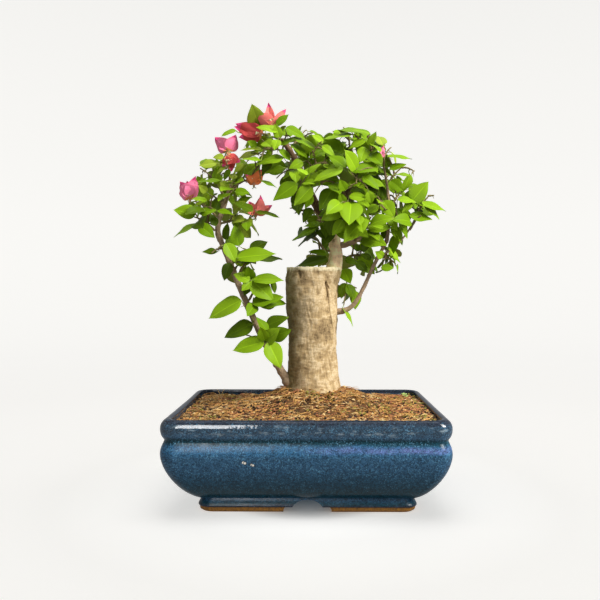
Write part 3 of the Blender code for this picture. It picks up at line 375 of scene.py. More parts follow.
# The front left corner slumped outwards in the kiln
SLUMP = 0.0022
SLUMP_FROM_X = -0.070
SLUMP_FROM_Y = 0.030
SLUMP_OVER_Y = 0.100

# Two chips in the glaze of the front
CHIPS = ((-0.0452, -0.0774, 0.0410), (-0.0440, -0.0774, 0.0405), (-0.0393, -0.0774, 0.0392),
         (-0.0383, -0.0774, 0.0389))
CHIP_RADIUS = 0.0010
CHIP_MARGIN = 1.5

# Soil: its surface, and what lies on it
SOIL_FINE_CORNER = 6
SOIL_FINE_SIDES = (40, 30)
SOIL_FINE_RINGS = 40
SOIL_ROUGHNESS = 0.001155
SOIL_GRAIN = 0.0048
SOIL_DEPTH = 0.012
# Its lumps: how much finer each is than the grain, and its share of the height
SOIL_LUMPS = ((1.0, 1.0), (2.3, 0.6), (5.1, 0.4))
# Beyond this place at the right the soil stays damp and mossy, over so wide an edge
DAMP_FROM = 0.062
DAMP_EDGE = 0.02
CLUMP_SPACING = 0.013
# Of so many pieces of litter one is heaped against the trunk: from this azimuth round the front
# to that one, in degrees, from this far outside its foot, as far out and as high as this
HEAP_SHARE = 11
HEAP_TURNS = (150.0, 390.0)
HEAP_FROM = 0.0014
HEAP_REACH = 0.010
HEAP_HEIGHT = 0.0042
HEAP_CROWDING = 1.5
HEAP_LOWEST = 0.35
HEAP_SHARES = (0.2, 1.0)
RIM_MARGIN = 0.0008
TRUNK_MARGIN = 0.001
# Hollows in the soil: how far apart, below which level, and the share of fibres missing there
HOLLOW_SPACING = 0.0085
HOLLOW_BELOW = -0.30
HOLLOW_BARE = 0.8
MOSS_SPACING = 0.016
MOSS_ABOVE = 0.18
MOSS_MORE_WHERE_DAMP = 0.45
MOSS_SHARE = 0.55
# Fibres and crumbs: each pair of numbers is the range of a seeded draw
FIBRE_LENGTHS = (0.0035, 0.0105)
FIBRE_RISES = (-0.12, 0.42)
FIBRE_HEIGHTS = (-0.0002, 0.0008)
FIBRE_RADII = (0.00018, 0.00046)
FIBRE_SAGS = (0.15, 0.45)
FIBRE_CURLS = (-0.35, 0.35)
FIBRE_TAPER = 0.55
CRUMB_SIZES = (0.0007, 0.0025)
CRUMB_HALVES = ((0.5, 1.0), (0.35, 0.8), (0.25, 0.5))
CRUMB_TILTS = (-0.6, 0.6)
CRUMB_CORNERS = (0.75, 1.15)
# Fibres this far out, as shares of these half sizes, point inwards
INWARDS_FROM = (0.09, 0.066, 0.85)
# How often a fibre is coir, pale or bark where it is damp, and a crumb coir, pale, bark or dark
DAMP_FIBRES = (1, 0, 2)
CRUMB_SHARES = (4, 2, 3, 4)
MOSSY_CRUMB = 4

# Trunk: fissures along it, marks across it, and its weathered cut
TRUNK_FINE_SIDES = 240
TRUNK_FINE_RINGS = 230
TRUNK_SINK = 0.0022
FISSURE_SPACING = 0.0026
FISSURE_STRETCH = 0.30
FISSURE_DEPTH = 0.00022
FISSURE_SHARPNESS = 2.4
MARK_SPACING = 0.0017
MARK_STRETCH = 0.38
MARK_DEPTH = 0.00022
CRUST_SPACING = 0.0058
CRUST_DEPTH = 0.00060
CUT_RAGGEDNESS = 0.0011
CUT_RINGS = (0.985, 0.95, 0.88, 0.76, 0.60, 0.42, 0.22)
# The cut's edge is ragged from this share of the trunk's height, in so many teeth round it
RAGGED_FROM = 0.9
RAGGED_TEETH = 9.0
SAW_DEPTH = 0.0005
SAW_SPACING = 0.004
CUT_DISH = 0.0007
CUT_GRAIN = 0.0016
# How the relief tells height: this level, plus the height over so many fissure depths
RELIEF_LEVEL = 0.5
TRUNK_RELIEF = 2.4
BOUGH_RELIEF = 2.0
CUT_LEVEL, CUT_CONTRAST = 0.75, 0.4

# Fine boughs
BOUGH_STEP = 0.0009
BOUGH_SIDES = 18
BOUGH_SINK = 0.0030
BOUGH_SLENDER = 0.74
TRUNK_BOUGH_SINK = 0.0075
# Limbs that are slimmer still, and how far each one's collar swells it
SLIMMEST = {"bough_right_side": 0.42, "bough_right_lower": 0.56, "bough_right_upper": 0.62}
COLLARED = {"bough_left_lower": 0.55, "bough_right_lower": 0.45, "bough_upper_foot": 0.12}
PLAIN_COLLAR = 0.15
# Which bark a bough has: 0 maturing, made paler as painted light, 1 young, 2 darkened as painted shade inside
# the crown
BOUGH_BARKS = {"bough_upper_foot": 0, "bough_upper_left": 2, "bough_crown": 2, "bough_back": 2}
# Two boughs leave the trunk a little apart from their solids: how far, over which share of their length
ROOT_SHIFTS = {"bough_left_lower": (Vector((0.0010, 0.0, -0.0050)), 0.22),
               "bough_upper_foot": (Vector((-0.0040, 0.0, 0.0)), 1.0)}
# Stretches of bough that no leaf stands in front of
BARE_STRETCHES = (("bough_right_upper", 0.0, 1.0), ("bough_right_lower", 0.70, 1.0),
                  ("bough_upper_left", 0.06, 0.30), ("bough_upper_left", 0.78, 0.92),
                  ("bough_left_upper", 0.0, 0.45), ("bough_left_lower", 0.55, 0.95))
BARE_REACH = 0.0065
BARE_STEPS = 12
# A bough's blunt end: (how far on, how wide), in shares of its radius
BOUGH_END = ((0.45, 0.78), (0.8, 0.4))
COLLAR_REACH = 1.1
# Bark is as rough as the trunk's on limbs of this radius, and smoother on slimmer ones
ROUGH_FROM = 0.008
KNOB_SPACING = (0.006, 0.011)
KNOB_HEIGHT = (0.12, 0.30)
KNOB_LENGTH = 0.0013

# Finer twigs, with what they carry
FULLNESS = {"bough_left_lower": (1, 2, 0), "bough_left_upper": (2, 2, 1), "bough_right_lower": (1, 2, 1),
            "bough_right_side": (1, 2, 1), "bough_right_upper": (1, 3, 1), "bough_crown_right": (1, 3, 1)}
FULL = (2, 3, 1)
FINE_TWIG_LENGTH = (0.35, 0.60)
FINE_LEAF_SIZES = (0.66, 1.0)
FINE_TWIG_RADIUS = 0.0005
FINE_TWIG_PLACES = (0.35, 0.95)
FINE_TWIG_OPENINGS = (0.7, 1.1)
FINE_FIRST_LEAF = 0.4
EXTRA_LEAF_PLACES = (0.3, 1.0)
TWIG_SIDES = 6
TWIG_SMOOTHING = 4
TWIG_SUNK = 0.0012
TWIG_TIP = 0.8
BUD_EVERY = 3
BUD_SWELL = 1.22
STALK_SIDES = 4
STALK_WIDTH = 0.00042
STALK_TAPER = (1.0, 0.85, 0.9, 0.4)
STALK_BEND = 0.06
STALK_END = 0.06
STALK_SUNK = 0.0004
STALK_UNDER = 0.0002
THORN_LENGTH = (0.0022, 0.0042)
THORN_PLACES = (0.3, 0.8)
THORN_OPENING = math.radians(70)
THORN_HOOK = 0.18
THORN_SUNK = 0.0006
THORN_RADII = (0.00042, 0.00026, 0.00005)

# A fine blade: shares of its length, and places across it
BLADE_SHARES = (0.004, 0.05, 0.12, 0.21, 0.32, 0.44, 0.56, 0.68, 0.79, 0.89, 0.96)
BLADE_ACROSS = (-1.0, -0.55, -0.05, 0.05, 0.55, 1.0)
BLADE_BASE = 0.62
BLADE_TIP = 1.10
BLADE_FOLD = 0.45
BLADE_ARCH = 0.22
BLADE_WAVE = 0.022
BLADE_WAVES = 1.6
BLADE_THICKNESS = 0.00030
# The other edge waves the other way, a little less
BLADE_OTHER_EDGE = -0.7
# The parts of a blade, and which part each face round it belongs to
UPPER, RIB, UNDER, HEART, TIP = range(5)
BLADE_PARTS = (UPPER, UPPER, RIB, UPPER, UPPER, UNDER, UNDER)

# Where the photograph's pixels lie: its middle and its focal length, both in pixels
MIDDLE_X = 307.5
MIDDLE_Y = 288.0
FOCAL = 678.8
# The sprays whose leaves stand out at the front, as read: their green, their depth, and for each
# leaf the pixels of its foot and of its tip, and its width in pixels
# Their deep greens are partly painted shade
SPRAYS_SEEN = (
    ("fresh", -0.022, ((241, 300, 208, 319, 18), (264, 342, 232, 351, 16), (251, 280, 274, 301, 19),
     (253, 280, 285, 281, 11), (251, 281, 242, 291, 10), (265, 341, 261, 326, 13))),
    ("full", -0.020, ((252, 303, 284, 297, 13), (271, 337, 292, 329, 16), (251, 279, 249, 266, 12),
     (268, 332, 256, 317, 8), (255, 304, 248, 316, 13))),
    ("bright", -0.024, ((268, 342, 281, 369, 18), (250, 280, 233, 274, 11), (261, 161, 242, 160, 6))),
    ("fresh", -0.024, ((237, 258, 277, 254, 16), (226, 243, 236, 263, 13))),
    ("deep", -0.014, ((266, 326, 289, 317, 12), (230, 263, 224, 281, 12), (217, 252, 202, 252, 7),
     (253, 324, 224, 338, 16), (250, 281, 245, 296, 12), (238, 262, 267, 257, 8), (272, 280, 275, 294, 6),
     (216, 226, 210, 213, 8), (230, 170, 224, 181, 7))),
    ("full", -0.020, ((239, 246, 234, 225, 14), (247, 222, 248, 232, 10), (199, 225, 215, 238, 13),
     (200, 214, 217, 210, 9), (217, 211, 234, 215, 6))),
    ("fresh", -0.018, ((200, 224, 173, 238, 8), (196, 213, 175, 211, 15), (207, 201, 191, 199, 6))),
    ("full", -0.016, ((235, 192, 250, 193, 9), (221, 181, 198, 182, 6), (261, 181, 277, 188, 5))),
    ("deep", -0.018, ((253, 211, 234, 203, 9), (256, 212, 280, 218, 6), (284, 168, 265, 174, 9))),
    ("young", -0.014, ((207, 192, 200, 187, 8), (217, 163, 199, 166, 10), (244, 164, 233, 175, 7),
     (224, 157, 213, 158, 7), (262, 150, 240, 151, 6))),
    ("young", -0.002, ((259, 128, 254, 111, 19), (259, 153, 237, 160, 9))),
    ("bright", -0.016, ((284, 158, 258, 165, 11), (251, 153, 270, 151, 5))),
    ("fresh", -0.010, ((257, 147, 248, 143, 8), (236, 131, 221, 137, 7))),
    ("deep", -0.012, ((271, 160, 262, 177, 10), (299, 190, 299, 216, 15), (226, 240, 228, 222, 9))),
    ("full", -0.016, ((277, 126, 289, 115, 9), (286, 128, 305, 139, 11), (295, 139, 317, 150, 9),
     (291, 145, 308, 160, 9), (326, 151, 308, 160, 9), (281, 146, 297, 137, 7), (280, 150, 291, 162, 8))),
    ("bright", -0.018, ((279, 132, 256, 128, 10), (280, 139, 275, 125, 10), (323, 143, 311, 135, 7))),
    ("fresh", -0.016, ((352, 135, 323, 140, 8), (365, 148, 359, 165, 13), (351, 132, 371, 135, 6))),
    ("full", -0.014, ((370, 135, 337, 131, 10), (318, 227, 292, 241, 8))),
    ("bright", -0.018, ((365, 141, 348, 150, 9), (369, 147, 376, 132, 8))),
    ("bright", -0.030, ((343, 168, 313, 182, 13), (308, 175, 296, 169, 5))),
    ("fresh", -0.028, ((312, 187, 294, 206, 16), (351, 202, 347, 228, 25), (308, 174, 321, 164, 7),
     (345, 191, 339, 181, 10), (349, 197, 369, 199, 10), (378, 206, 365, 214, 9))),
    ("full", -0.026, ((346, 168, 328, 156, 13), (378, 168, 348, 173, 13), (344, 205, 339, 193, 9),
     (362, 176, 379, 190, 11), (362, 181, 345, 187, 9), (297, 184, 273, 201, 17),
     (312, 196, 305, 209, 9))),
    ("fresh", -0.026, ((336, 230, 353, 240, 12), (356, 227, 368, 238, 11))),
    ("deep", -0.012, ((297, 202, 298, 215, 12), (311, 208, 303, 223, 10), (368, 238, 363, 253, 10))),
    ("full", -0.010, ((319, 228, 294, 241, 7), (322, 225, 303, 227, 7), (328, 254, 308, 252, 7))),
    ("deep", -0.006, ((321, 231, 298, 247, 6), (328, 258, 295, 267, 11), (324, 235, 325, 251, 8))),
    ("full", 0.004, ((343, 269, 350, 284, 14), (345, 283, 341, 299, 10), (347, 284, 355, 301, 10))),
    ("deep", 0.002, ((345, 259, 358, 264, 8), (356, 262, 368, 272, 10), (371, 259, 360, 254, 7),
     (396, 226, 402, 246, 8), (388, 228, 381, 241, 8), (414, 211, 436, 215, 9))),
    ("fresh", -0.014, ((387, 157, 412, 160, 7), (411, 202, 428, 182, 17), (418, 204, 446, 212, 10),
     (421, 202, 439, 220, 10), (410, 176, 394, 175, 5), (391, 226, 401, 243, 10))),
    ("fresh", -0.020, ((383, 201, 393, 219, 15), (389, 217, 397, 231, 10))),
    ("full", -0.016, ((390, 181, 402, 193, 13), (409, 216, 432, 220, 11), (399, 221, 407, 239, 9),
     (395, 235, 393, 255, 9), (381, 268, 394, 268, 8), (389, 170, 406, 165, 8))),
    ("bright", -0.016, ((397, 200, 416, 203, 8), (411, 203, 402, 213, 8), (389, 248, 399, 262, 6),
     (383, 257, 374, 252, 9))),
    ("bright", -0.006, ((343, 309, 353, 327, 4),)),
)
SEEN_DROOPS = (4, 22)
SEEN_FOLDS = (6, 20)
SEEN_STALK = 0.004
SEEN_STALK_SHARE = 0.7
SEEN_TOWARDS = 0.75
SEEN_CLEAR = 0.42
SEEN_CLEAR_DEPTH = 0.006
BRACT_CLEAR = 0.55
# The share of its length where a leaf is fullest, and those that are tried against the sky
LEAF_HEART = 0.45
SKY_TRIES = (0.35, 0.7, 1.0)
# How near a leaf's foot lies to the twig that bears it, and the fewest points that a twig keeps
TWIG_BEARS = 0.0015
TWIG_SHORTEST = 2
# Openings round and in the crown through which sky shows: the pixels of each one's middle, and its reach
SKY_SEEN = ((308, 128, 8), (325, 126, 9), (345, 118, 8), (360, 118, 8), (373, 123, 7), (386, 131, 7),
            (396, 143, 9), (411, 158, 8), (412, 172, 7), (435, 188, 9), (414, 184, 4), (434, 224, 5),
            (389, 277, 7), (356, 286, 7), (288, 211, 13), (299, 223, 7), (303, 250, 12), (272, 190, 11),
            (229, 133, 5), (199, 168, 6), (183, 226, 7), (216, 262, 6), (276, 246, 8), (262, 269, 5),
            (186, 178, 5), (413, 258, 6), (393, 150, 5), (356, 270, 6), (441, 195, 7), (375, 244, 4),
            (409, 168, 6), (194, 238, 6), (357, 252, 5), (323, 193, 5), (248, 187, 4))

# The blossoms as they stand, as read: which mass bears each one, its colour, its depth, and for
# each bract the pixels of its foot and of its tip, and its width in pixels
Bloom = namedtuple("Bloom", "mass tone depth bracts")
BLOOMS = (
    Bloom("left_10", "rose", -0.005, ((227, 152, 213, 138, 15), (231, 152, 238, 135, 13),
          (229, 152, 227, 144, 12))),
    Bloom("left_10", "deep", -0.012, ((228, 155, 221, 166, 11), (228, 155, 241, 161, 11),
          (228, 155, 232, 171, 11))),
    Bloom("left_7", "rose", -0.008, ((188, 200, 177, 182, 18), (191, 200, 198, 176, 13),
          (190, 199, 188, 183, 12))),
    Bloom("left_11", "amber", -0.006, ((253, 185, 244, 175, 8), (255, 185, 265, 169, 10),
          (254, 184, 256, 176, 9))),
    Bloom("left_8", "coral", -0.014, ((256, 216, 258, 194, 12), (257, 215, 273, 206, 9),
          (255, 216, 250, 203, 9))),
    Bloom("top_1", "deep", -0.010, ((263, 134, 234, 124, 14), (262, 135, 238, 137, 14),
          (262, 134, 236, 129, 14))),
    Bloom("top_1", "coral", -0.012, ((272, 127, 255, 114, 14), (274, 126, 288, 110, 8),
          (271, 126, 269, 106, 9))),
    Bloom("right_3", "rose", -0.011, ((382, 159, 385, 146, 5), (381, 159, 380, 148, 5))),
)
# Two bracts of each stand towards the front and the third behind them; they cup, and crease like paper
BRACT_DEPTHS = (-0.002, -0.002, 0.008)
BRACT_INSIDES = (0.8, 0.8, -1.0)
BRACT_INWARDS = 0.6
BRACT_CURL = math.radians(-24.0)
BRACT_CUP = math.radians(26.0)
BRACT_CREASE = 0.0012
CREASE_SPACING = 0.0028
# The rings of a blade where a bract's heart ends and its tip begins
HEART_ROWS = 3
TIP_FROM = 8
# A flower: how far along its tube each ring stands, and how wide it is there
FLOWER_OPENING = 0.20
FLOWER_LENGTH = (0.0060, 0.0085)
FLOWER_RADIUS = 0.0008
FLOWER_SHARES = (0.0, 0.12, 0.30, 0.62, 0.86, 0.95, 1.0)
FLOWER_WIDTHS = (0.4, 0.75, 0.85, 0.55, 0.65, 1.5, 1.9)
FLOWER_SIDES = 10
MOUTH_RING = 5
MOUTH_LOBES = 5
LOBE_DEPTH = 0.28
MIDRIB_SINK = 0.00014
BLADE_MIDRIB = 0.1
YOUNG_SIZE = 0.0225
# Masses that stand behind this depth take deeper greens, as painted shade
BACK_FROM = 0.015

# What breaks the trunk's bark.  A scar runs between two (azimuth in degrees, height) places,
# with its half width and its depth; a ridge is an azimuth, a height, how far it stands out,
# its half angle and its half height.
SCARS = (
    ((-58.0, 0.1675), (-49.0, 0.1575), 0.0008, 0.0028),
    ((-58.0, 0.1675), (-46.0, 0.1640), 0.0007, 0.0018),
    ((-49.0, 0.1575), (-44.0, 0.1330), 0.0008, 0.0006),
    ((-122.0, 0.1760), (-120.5, 0.1738), 0.0009, 0.0028),
    ((-112.0, 0.1780), (-116.0, 0.1700), 0.0028, 0.0005),
)
# How far a scar fades beyond its ends, in shares of its half width
SCAR_END = 1.5
# The weathered cut's pale edge, made paler as painted light, and the trunk's left side, darkened with a green
# tinge as painted shade
CUT_EDGE = (0.1772, 0.1796)
SHADED_LEFT_SIDE = (-0.0030, -0.0130)
SHADED_SIDE_UP_TO = (0.170, 0.140)

RIDGES = (
    (-70.0, 0.1580, 0.0005, 9.0, 0.012),
    (-32.0, 0.1480, 0.0011, 10.0, 0.020),
    (-62.0, 0.1300, -0.0006, 18.0, 0.010),
    (-120.0, 0.1330, 0.0006, 16.0, 0.010),
    (-95.0, 0.1500, 0.0005, 26.0, 0.008),
)
# Where the trunk's left and right edges stand, seen from the front: height, left, right
TRUNK_EDGES = (
    (0.0788, -0.0190, 0.0275), (0.0825, -0.0183, 0.0268), (0.0890, -0.0167, 0.0256),
    (0.0996, -0.0151, 0.0245), (0.1134, -0.0150, 0.0235), (0.1248, -0.0151, 0.0232),
    (0.1337, -0.0155, 0.0237), (0.1402, -0.0167, 0.0242), (0.1500, -0.0175, 0.0240),
    (0.1605, -0.0176, 0.0241), (0.1662, -0.0173, 0.0246), (0.1703, -0.0178, 0.0256),
    (0.1744, -0.0171, 0.0268), (0.1810, -0.0165, 0.0272),
)
# How fast that wears off towards the front and the back
EDGE_EASE = 1.5
CRUST_SHIFT = Vector((3.7, 1.9, 5.3))

# Loose straws: place, lean in radians, length; and the seedling at the back corner
STRAWS = (((-0.0745, 0.040), -0.35, 0.011), ((-0.0794, 0.0526), 0.45, 0.0115),
          ((-0.0790, 0.020), 0.9, 0.008), ((0.0600, -0.030), 1.2, 0.009))
STRAW_RADIUS = 0.00055
STRAW_SUNK = 0.001
SPROUT_PLACE = (0.0860, 0.0470)
SPROUT_HEIGHT = 0.0050
SPROUT_SUNK = 0.0005
SPROUT_RADII = (0.0003, 0.00025, 0.0002)
SPROUT_LEAVES = 5
SPROUT_LEAF_LENGTHS = (0.0022, 0.0034)
SPROUT_FACING = Vector((0, -0.6, 0.8))
# Its leaves start at this share of its height and go up by so much each, and spread out flatter
SPROUT_FIRST_LEAF, SPROUT_LEAF_STEP = 0.45, 0.14
SPROUT_LEAF_RISE, SPROUT_LEAF_FALL = 0.5, 0.1

# Where each kind of seeded draw starts
SEEDS = {"finer growth": 100, "leaves that stand out": 51, "twigs": 21, "leaves": 31, "blossom": 41,
         "boughs": 11, "litter": 7, "seedling": 3}

# The photograph's camera, and the stage
CAMERA_PLACE = (0.0, -0.552, 0.1638)
CAMERA_DOWN = 1.013
CAMERA_LEFT = 0.633
FLOOR_RADIUS = 1.2
SWEEP_RADIUS = 0.6
SWEEP_TOP = 1.6
SENSOR_WIDTH = 36.0
FLOOR_SIDES = 96
FLOOR_RINGS = 8
SWEEP_RINGS = 12
# Each light's place, what it looks at, its width and height, and the key's slightly warm tint
KEY_PLACE, KEY_AIM, KEY_SIZE = (0.80, -0.55, 0.80), (0, 0, 0.15), (0.45, 0.60)
KEY_TINT = (1.0, 0.99, 0.97)
STRIP_PLACE, STRIP_AIM, STRIP_SIZE = (-0.235, -1.08, 0.53), (-0.075, -0.078, 0.066), (0.16, 0.70)
TOP_PLACE, TOP_AIM, TOP_SIZE = (0.05, 0.05, 1.25), (0, 0, 0.1), (0.9, 0.9)
# How brightly the paper glows as painted light, dimmed near the pot as a painted shadow: (share of the way
# out, glow)
PAINTED_PAPER_LIGHT = ((0.016, 0.03), (0.033, 0.14), (0.044, 0.58), (0.067, 0.43), (0.11, 0.31), (0.33, 0.35),
              (0.60, 0.45), (1.0, 0.53))

Leaf = namedtuple("Leaf", "root base axis normal length width droop fold kind")
Solid = namedtuple("Solid", "owner centre reach tree")
Spray = namedtuple("Spray", "mass twigs leaves tone")
Plant = namedtuple("Plant", "curves sprays")


def linear(hex_colour):
    """An sRGB hex colour as linear RGBA."""
    channels = [int(hex_colour[i:i + 2], 16) / 255 for i in (1, 3, 5)]
    return [c / 12.92 if c <= 0.04045 else ((c + 0.055) / 1.055) ** 2.4 for c in channels] + [1.0]


def colour(name, description, hex_colour):
    """A colour that the user can change."""
    return FloatVectorProperty(name=name, description=description, subtype="COLOR", size=4,
                               min=0.0, max=1.0, default=linear(hex_colour))


def length(name, description, default, low, high):
    """A length that the user can change."""
    return FloatProperty(name=name, description=description, subtype="DISTANCE", unit="LENGTH",
                         default=default, min=low, max=high, precision=5)


class PotLooks(bpy.types.PropertyGroup):
    """Glaze and clay of the pot."""

    glaze: colour("Glaze", "Body colour of the glaze", "#2b4c66")
    speckle: colour("Speckle", "Pale specks in the glaze", "#6095b4")
    # Thick glaze, darkened further as painted shade in the groove and low on the pot
    depth: colour("Deep glaze", "Where the glaze lies thick, in the groove and at the feet", "#0c323e")
    # Painted highlight: the shoulder glaze is drawn paler where the top light falls on it
    shoulder: colour("Shoulder", "Paler glaze along the shoulder", "#295677")
    # Painted highlight: a violet streak drawn along the right of the shoulder
    bloom: colour("Bloom", "Violet bloom at the right of the shoulder", "#62659a")
    lip: colour("Lip", "Glaze round the lip", "#20394c")
    fleck: colour("Flecks", "Where the clay shows through on the lip and in the chips", "#8fa0aa")
    rim: colour("Break", "Where the glaze runs thin and breaks over the rim", "#232a36")
    # Partly painted highlight: the chips are drawn near white, paler than the bare clay
    chip: colour("Chips", "Where the glaze is chipped to the clay", "#e2ddd2")
    clay: colour("Clay", "Bare clay of the soles", "#80540f")
    ripple: length("Ripple", "How far the glaze runs uneven", GLAZE_RIPPLE, 0.0, 0.001)


class SoilLooks(bpy.types.PropertyGroup):
    """Coir, bark crumbs and straws on the soil."""

    ground: colour("Ground", "Peaty ground between the pieces", "#4f3519")
    coir: colour("Coir", "Coconut fibre", "#cb9a54")
    pale: colour("Pale fibre", "Bleached fibre and straws", "#dcbc82")
    bark: colour("Bark crumbs", "Reddish crumbs of bark", "#b0744a")
    dark: colour("Dark crumbs", "Damp crumbs", "#35210f")
    moss: colour("Moss", "Dry olive moss between the crumbs", "#8f8638")
    sprout: colour("Sprout", "The seedling at the back corner", "#a6bf6e")
    fibres: IntProperty(name="Fibres", description="Fibres on the soil", default=6400, min=0, max=9000)
    crumbs: IntProperty(name="Crumbs", description="Crumbs on the soil", default=4400, min=0, max=9000)


class BarkLooks(bpy.types.PropertyGroup):
    """Bark of the trunk, the boughs and the twigs."""

    ridge: colour("Ridges", "Sunlit ridges of the old bark", "#dcc59c")
    face: colour("Bark", "The old bark between ridges and fissures", "#b89c6e")
    fissure: colour("Fissures", "The bottom of the fissures", "#6c5637")
    # Pale weathered wood, made paler still as painted light falling from above
    cut: colour("Cut", "The weathered cut", "#fff0c4")
    # Painted shade with a green tinge, laid on the trunk's left side
    moss: colour("Green side", "The tinge on the shaded side of the trunk", "#544a08")
    # Painted light: the bough above the cut is drawn paler so it looks lit, though the crown shades it
    pale: colour("Pale bark", "Bark of the bough above the cut", "#ffdcae")
    young: colour("Young bark", "Bark of the boughs", "#9c8467")
    # Painted shade: the boughs inside the crown are drawn darker where the leaves shade them
    shaded: colour("Inner bark", "Bark of the boughs inside the crown", "#75593f")
    twig: colour("Twig", "Bark of the twigs", "#7f7042")
    shoot: colour("Shoot", "Soft shoots and leaf stalks", "#86983c")
    relief: FloatProperty(name="Relief", description="How strongly the bark stands out",
                          subtype="FACTOR", default=1.0, min=0.0, max=2.0)


class LeafLooks(bpy.types.PropertyGroup):
    """Leaves, dealt out by spray in plain colours."""

    # Partly painted shade: the deep green is dealt to leaves at the back and inside the crown
    deep: colour("Deep", "Old leaves inside the crown", "#50690e")
    full: colour("Full", "Full-grown leaves", "#6c8e10")
    fresh: colour("Fresh", "Leaves in the light", "#7da018")
    # Partly painted light: the palest green is dealt only to leaves in front
    bright: colour("Bright", "The palest full-grown leaves", "#88ac1e")
    young: colour("Young", "Young leaves by the blossom", "#94a832")
    under: colour("Underside", "The dull side of a leaf", "#8f9f44")


class BlossomLooks(bpy.types.PropertyGroup):
    """Bracts and the small flowers between them."""

    rose: colour("Rose", "Pink bracts", "#ff86a9")
    coral: colour("Coral", "Coral bracts", "#f98077")
    amber: colour("Amber", "Orange bracts in the shade", "#ff8a50")
    deep: colour("Deep", "The oldest bracts", "#c94c4a")
    tip: colour("Tips", "The tips of the bracts", "#ea5088")
    heart: colour("Heart", "The foot of each bract", "#e88a5e")
    tube: colour("Flower tube", "The slim tubes between the bracts", "#c98a6a")
    star: colour("Flower", "The cream mouths of the tubes", "#f2e6b8")


class StageLooks(bpy.types.PropertyGroup):
    """Floor, lights and camera."""

    floor: colour("Floor", "The pale sweep under and behind the plant", "#eeece8")
    key: FloatProperty(name="Key light", description="Power of the soft light at the right",
                       subtype="POWER", unit="POWER", default=19.5, min=0.0, max=200.0)
    fill: FloatProperty(name="Strip light", description="Power of the slim light at the left",
                        subtype="POWER", unit="POWER", default=4.2, min=0.0, max=200.0)
    top: FloatProperty(name="Top light", description="Power of the broad light overhead",
                       subtype="POWER", unit="POWER", default=6.0, min=0.0, max=200.0)
    sky: FloatProperty(name="Sky", description="Strength of the even light from all round",
                       default=0.42, min=0.0, max=5.0)
    lens: FloatProperty(name="Lens", description="Focal length of the camera", subtype="DISTANCE_CAMERA",
                        default=40.73, min=10.0, max=200.0)


# Glaze: its bands from the soles up to the rim, each at a share of the pot's height
# The deep bands in the groove and low on the pot are partly painted shade; the shoulder bands are a painted
# highlight
GLAZE_BANDS = ((0.0, "rim"), (1.0, "rim"), (0.070, "rim"), (0.090, "depth"), (0.13, "glaze"), (0.17, "depth"),
               (0.24, "depth"), (0.52, "glaze"), (0.63, "glaze"), (0.68, "shoulder"), (0.73, "shoulder"),
               (0.765, "depth"), (0.80, "depth"), (0.83, "glaze"), (0.88, "lip"), (0.94, "lip"),
               (0.97, "rim"))
GLAZE_WANDER = 0.0018
# Heights between which a part of the glaze comes in, or goes out
SHOULDER_BELOW = (0.0460, 0.0485)
SHOULDER_ABOVE = (0.0525, 0.0500)
LIP_BELOW = (0.0575, 0.0610)
LIP_ABOVE = (0.0680, 0.0650)
LIP_GLOSS = (0.056, 0.060)
RIM_GLOSS = (0.0665, 0.0690)
SPECKLED_FROM = (0.008, 0.036)
# The bloom, a painted violet highlight on the shoulder: from here to there at the right, and how strong it is
PAINTED_HIGHLIGHT_ACROSS = (-0.010, 0.030, 0.0, 0.55)
# Specks with a tone of their own: millimetres across, darkest and lightest
SPECKS = ((0.5, 0.35, 1.85), (1.5, 0.75, 1.25))
# Grains of the bark: millimetres, how far they are drawn out, and how strong they are
BARK_GRAINS = ((0.9, (0.3, 0.3, 1.0), 0.46), (0.6, (1.0, 1.0, 0.2), 0.56), (8.0, (1.0, 1.0, 1.0), 0.32))
BARK_TONE = 0.16
CUT_RAGGED_BY = 0.0015
SIDE_SHADE_STRENGTH = (0.50, 0.75)
RIB_LIGHTER, VEIN_DARKER = 1.35, 0.72
PAPERY = {"roughness": 0.55, "sheen": 0.1}


def fill(tree, made, values):
    """Sets a node's inputs, in order or by name, each to a number, a colour or a link."""
    for name, value in values.items() if isinstance(values, dict) else enumerate(values):
        if isinstance(value, bpy.types.NodeSocket):
            tree.links.new(value, made.inputs[name])
        else:
            made.inputs[name].default_value = value


def node(tree, kind, values=(), stops=(), **settings):
    """Adds a shader node with its settings, its stops if it is a ramp, and its values and links, and
    gives back its outputs."""
    made = tree.nodes.new("ShaderNode" + kind)
    for name, value in settings.items():
        setattr(made, name, value)
    for index, (place, tint) in enumerate(stops):
        stop = made.color_ramp.elements[index] if index < 2 else made.color_ramp.elements.new(place)
        stop.position = place
        stop.color = tint
    fill(tree, made, values)
    return made.outputs


def new_material(name, even):
    """A material whose even values stand on the shader's own sockets, and its node tree."""
    made = bpy.data.materials.new(name)
    made.use_nodes = True
    shader = made.node_tree.nodes["Principled BSDF"]
    fill(made.node_tree, shader, even)
    return made, made.node_tree, shader


def pattern(tree, kind, size_mm, stretch=(1.0, 1.0, 1.0), **inputs):
    """A pattern over the object whose cells are this many millimetres across."""
    place = node(tree, "TexCoord")["Object"]
    scale = [1000.0 / size_mm * share for share in stretch]
    spot = node(tree, "Mapping", {"Vector": place, "Scale": scale})["Vector"]
    return node(tree, "Tex" + kind, {"Vector": spot, "Scale": 1.0, **inputs})


def product(tree, *ranges):
    """Values multiplied together, each of them remapped from two limits to 0 and 1, or to two more."""
    share = node(tree, "MapRange", ranges[0])["Result"]
    for values in ranges[1:]:
        other = node(tree, "MapRange", values)["Result"]
        share = node(tree, "Math", (share, other), operation="MULTIPLY")["Value"]
    return share


def laid_on(tree, under, tint, *ranges):
    """A colour laid on another, as far as the product of these ranges says."""
    mix = {0: product(tree, *ranges), 6: under, 7: list(tint)}
    return node(tree, "Mix", mix, data_type="RGBA")[2]


def scaled(tint, share):
    """A colour made darker or lighter."""
    return [min(channel * share, 1.0) for channel in tint[:3]] + [1.0]


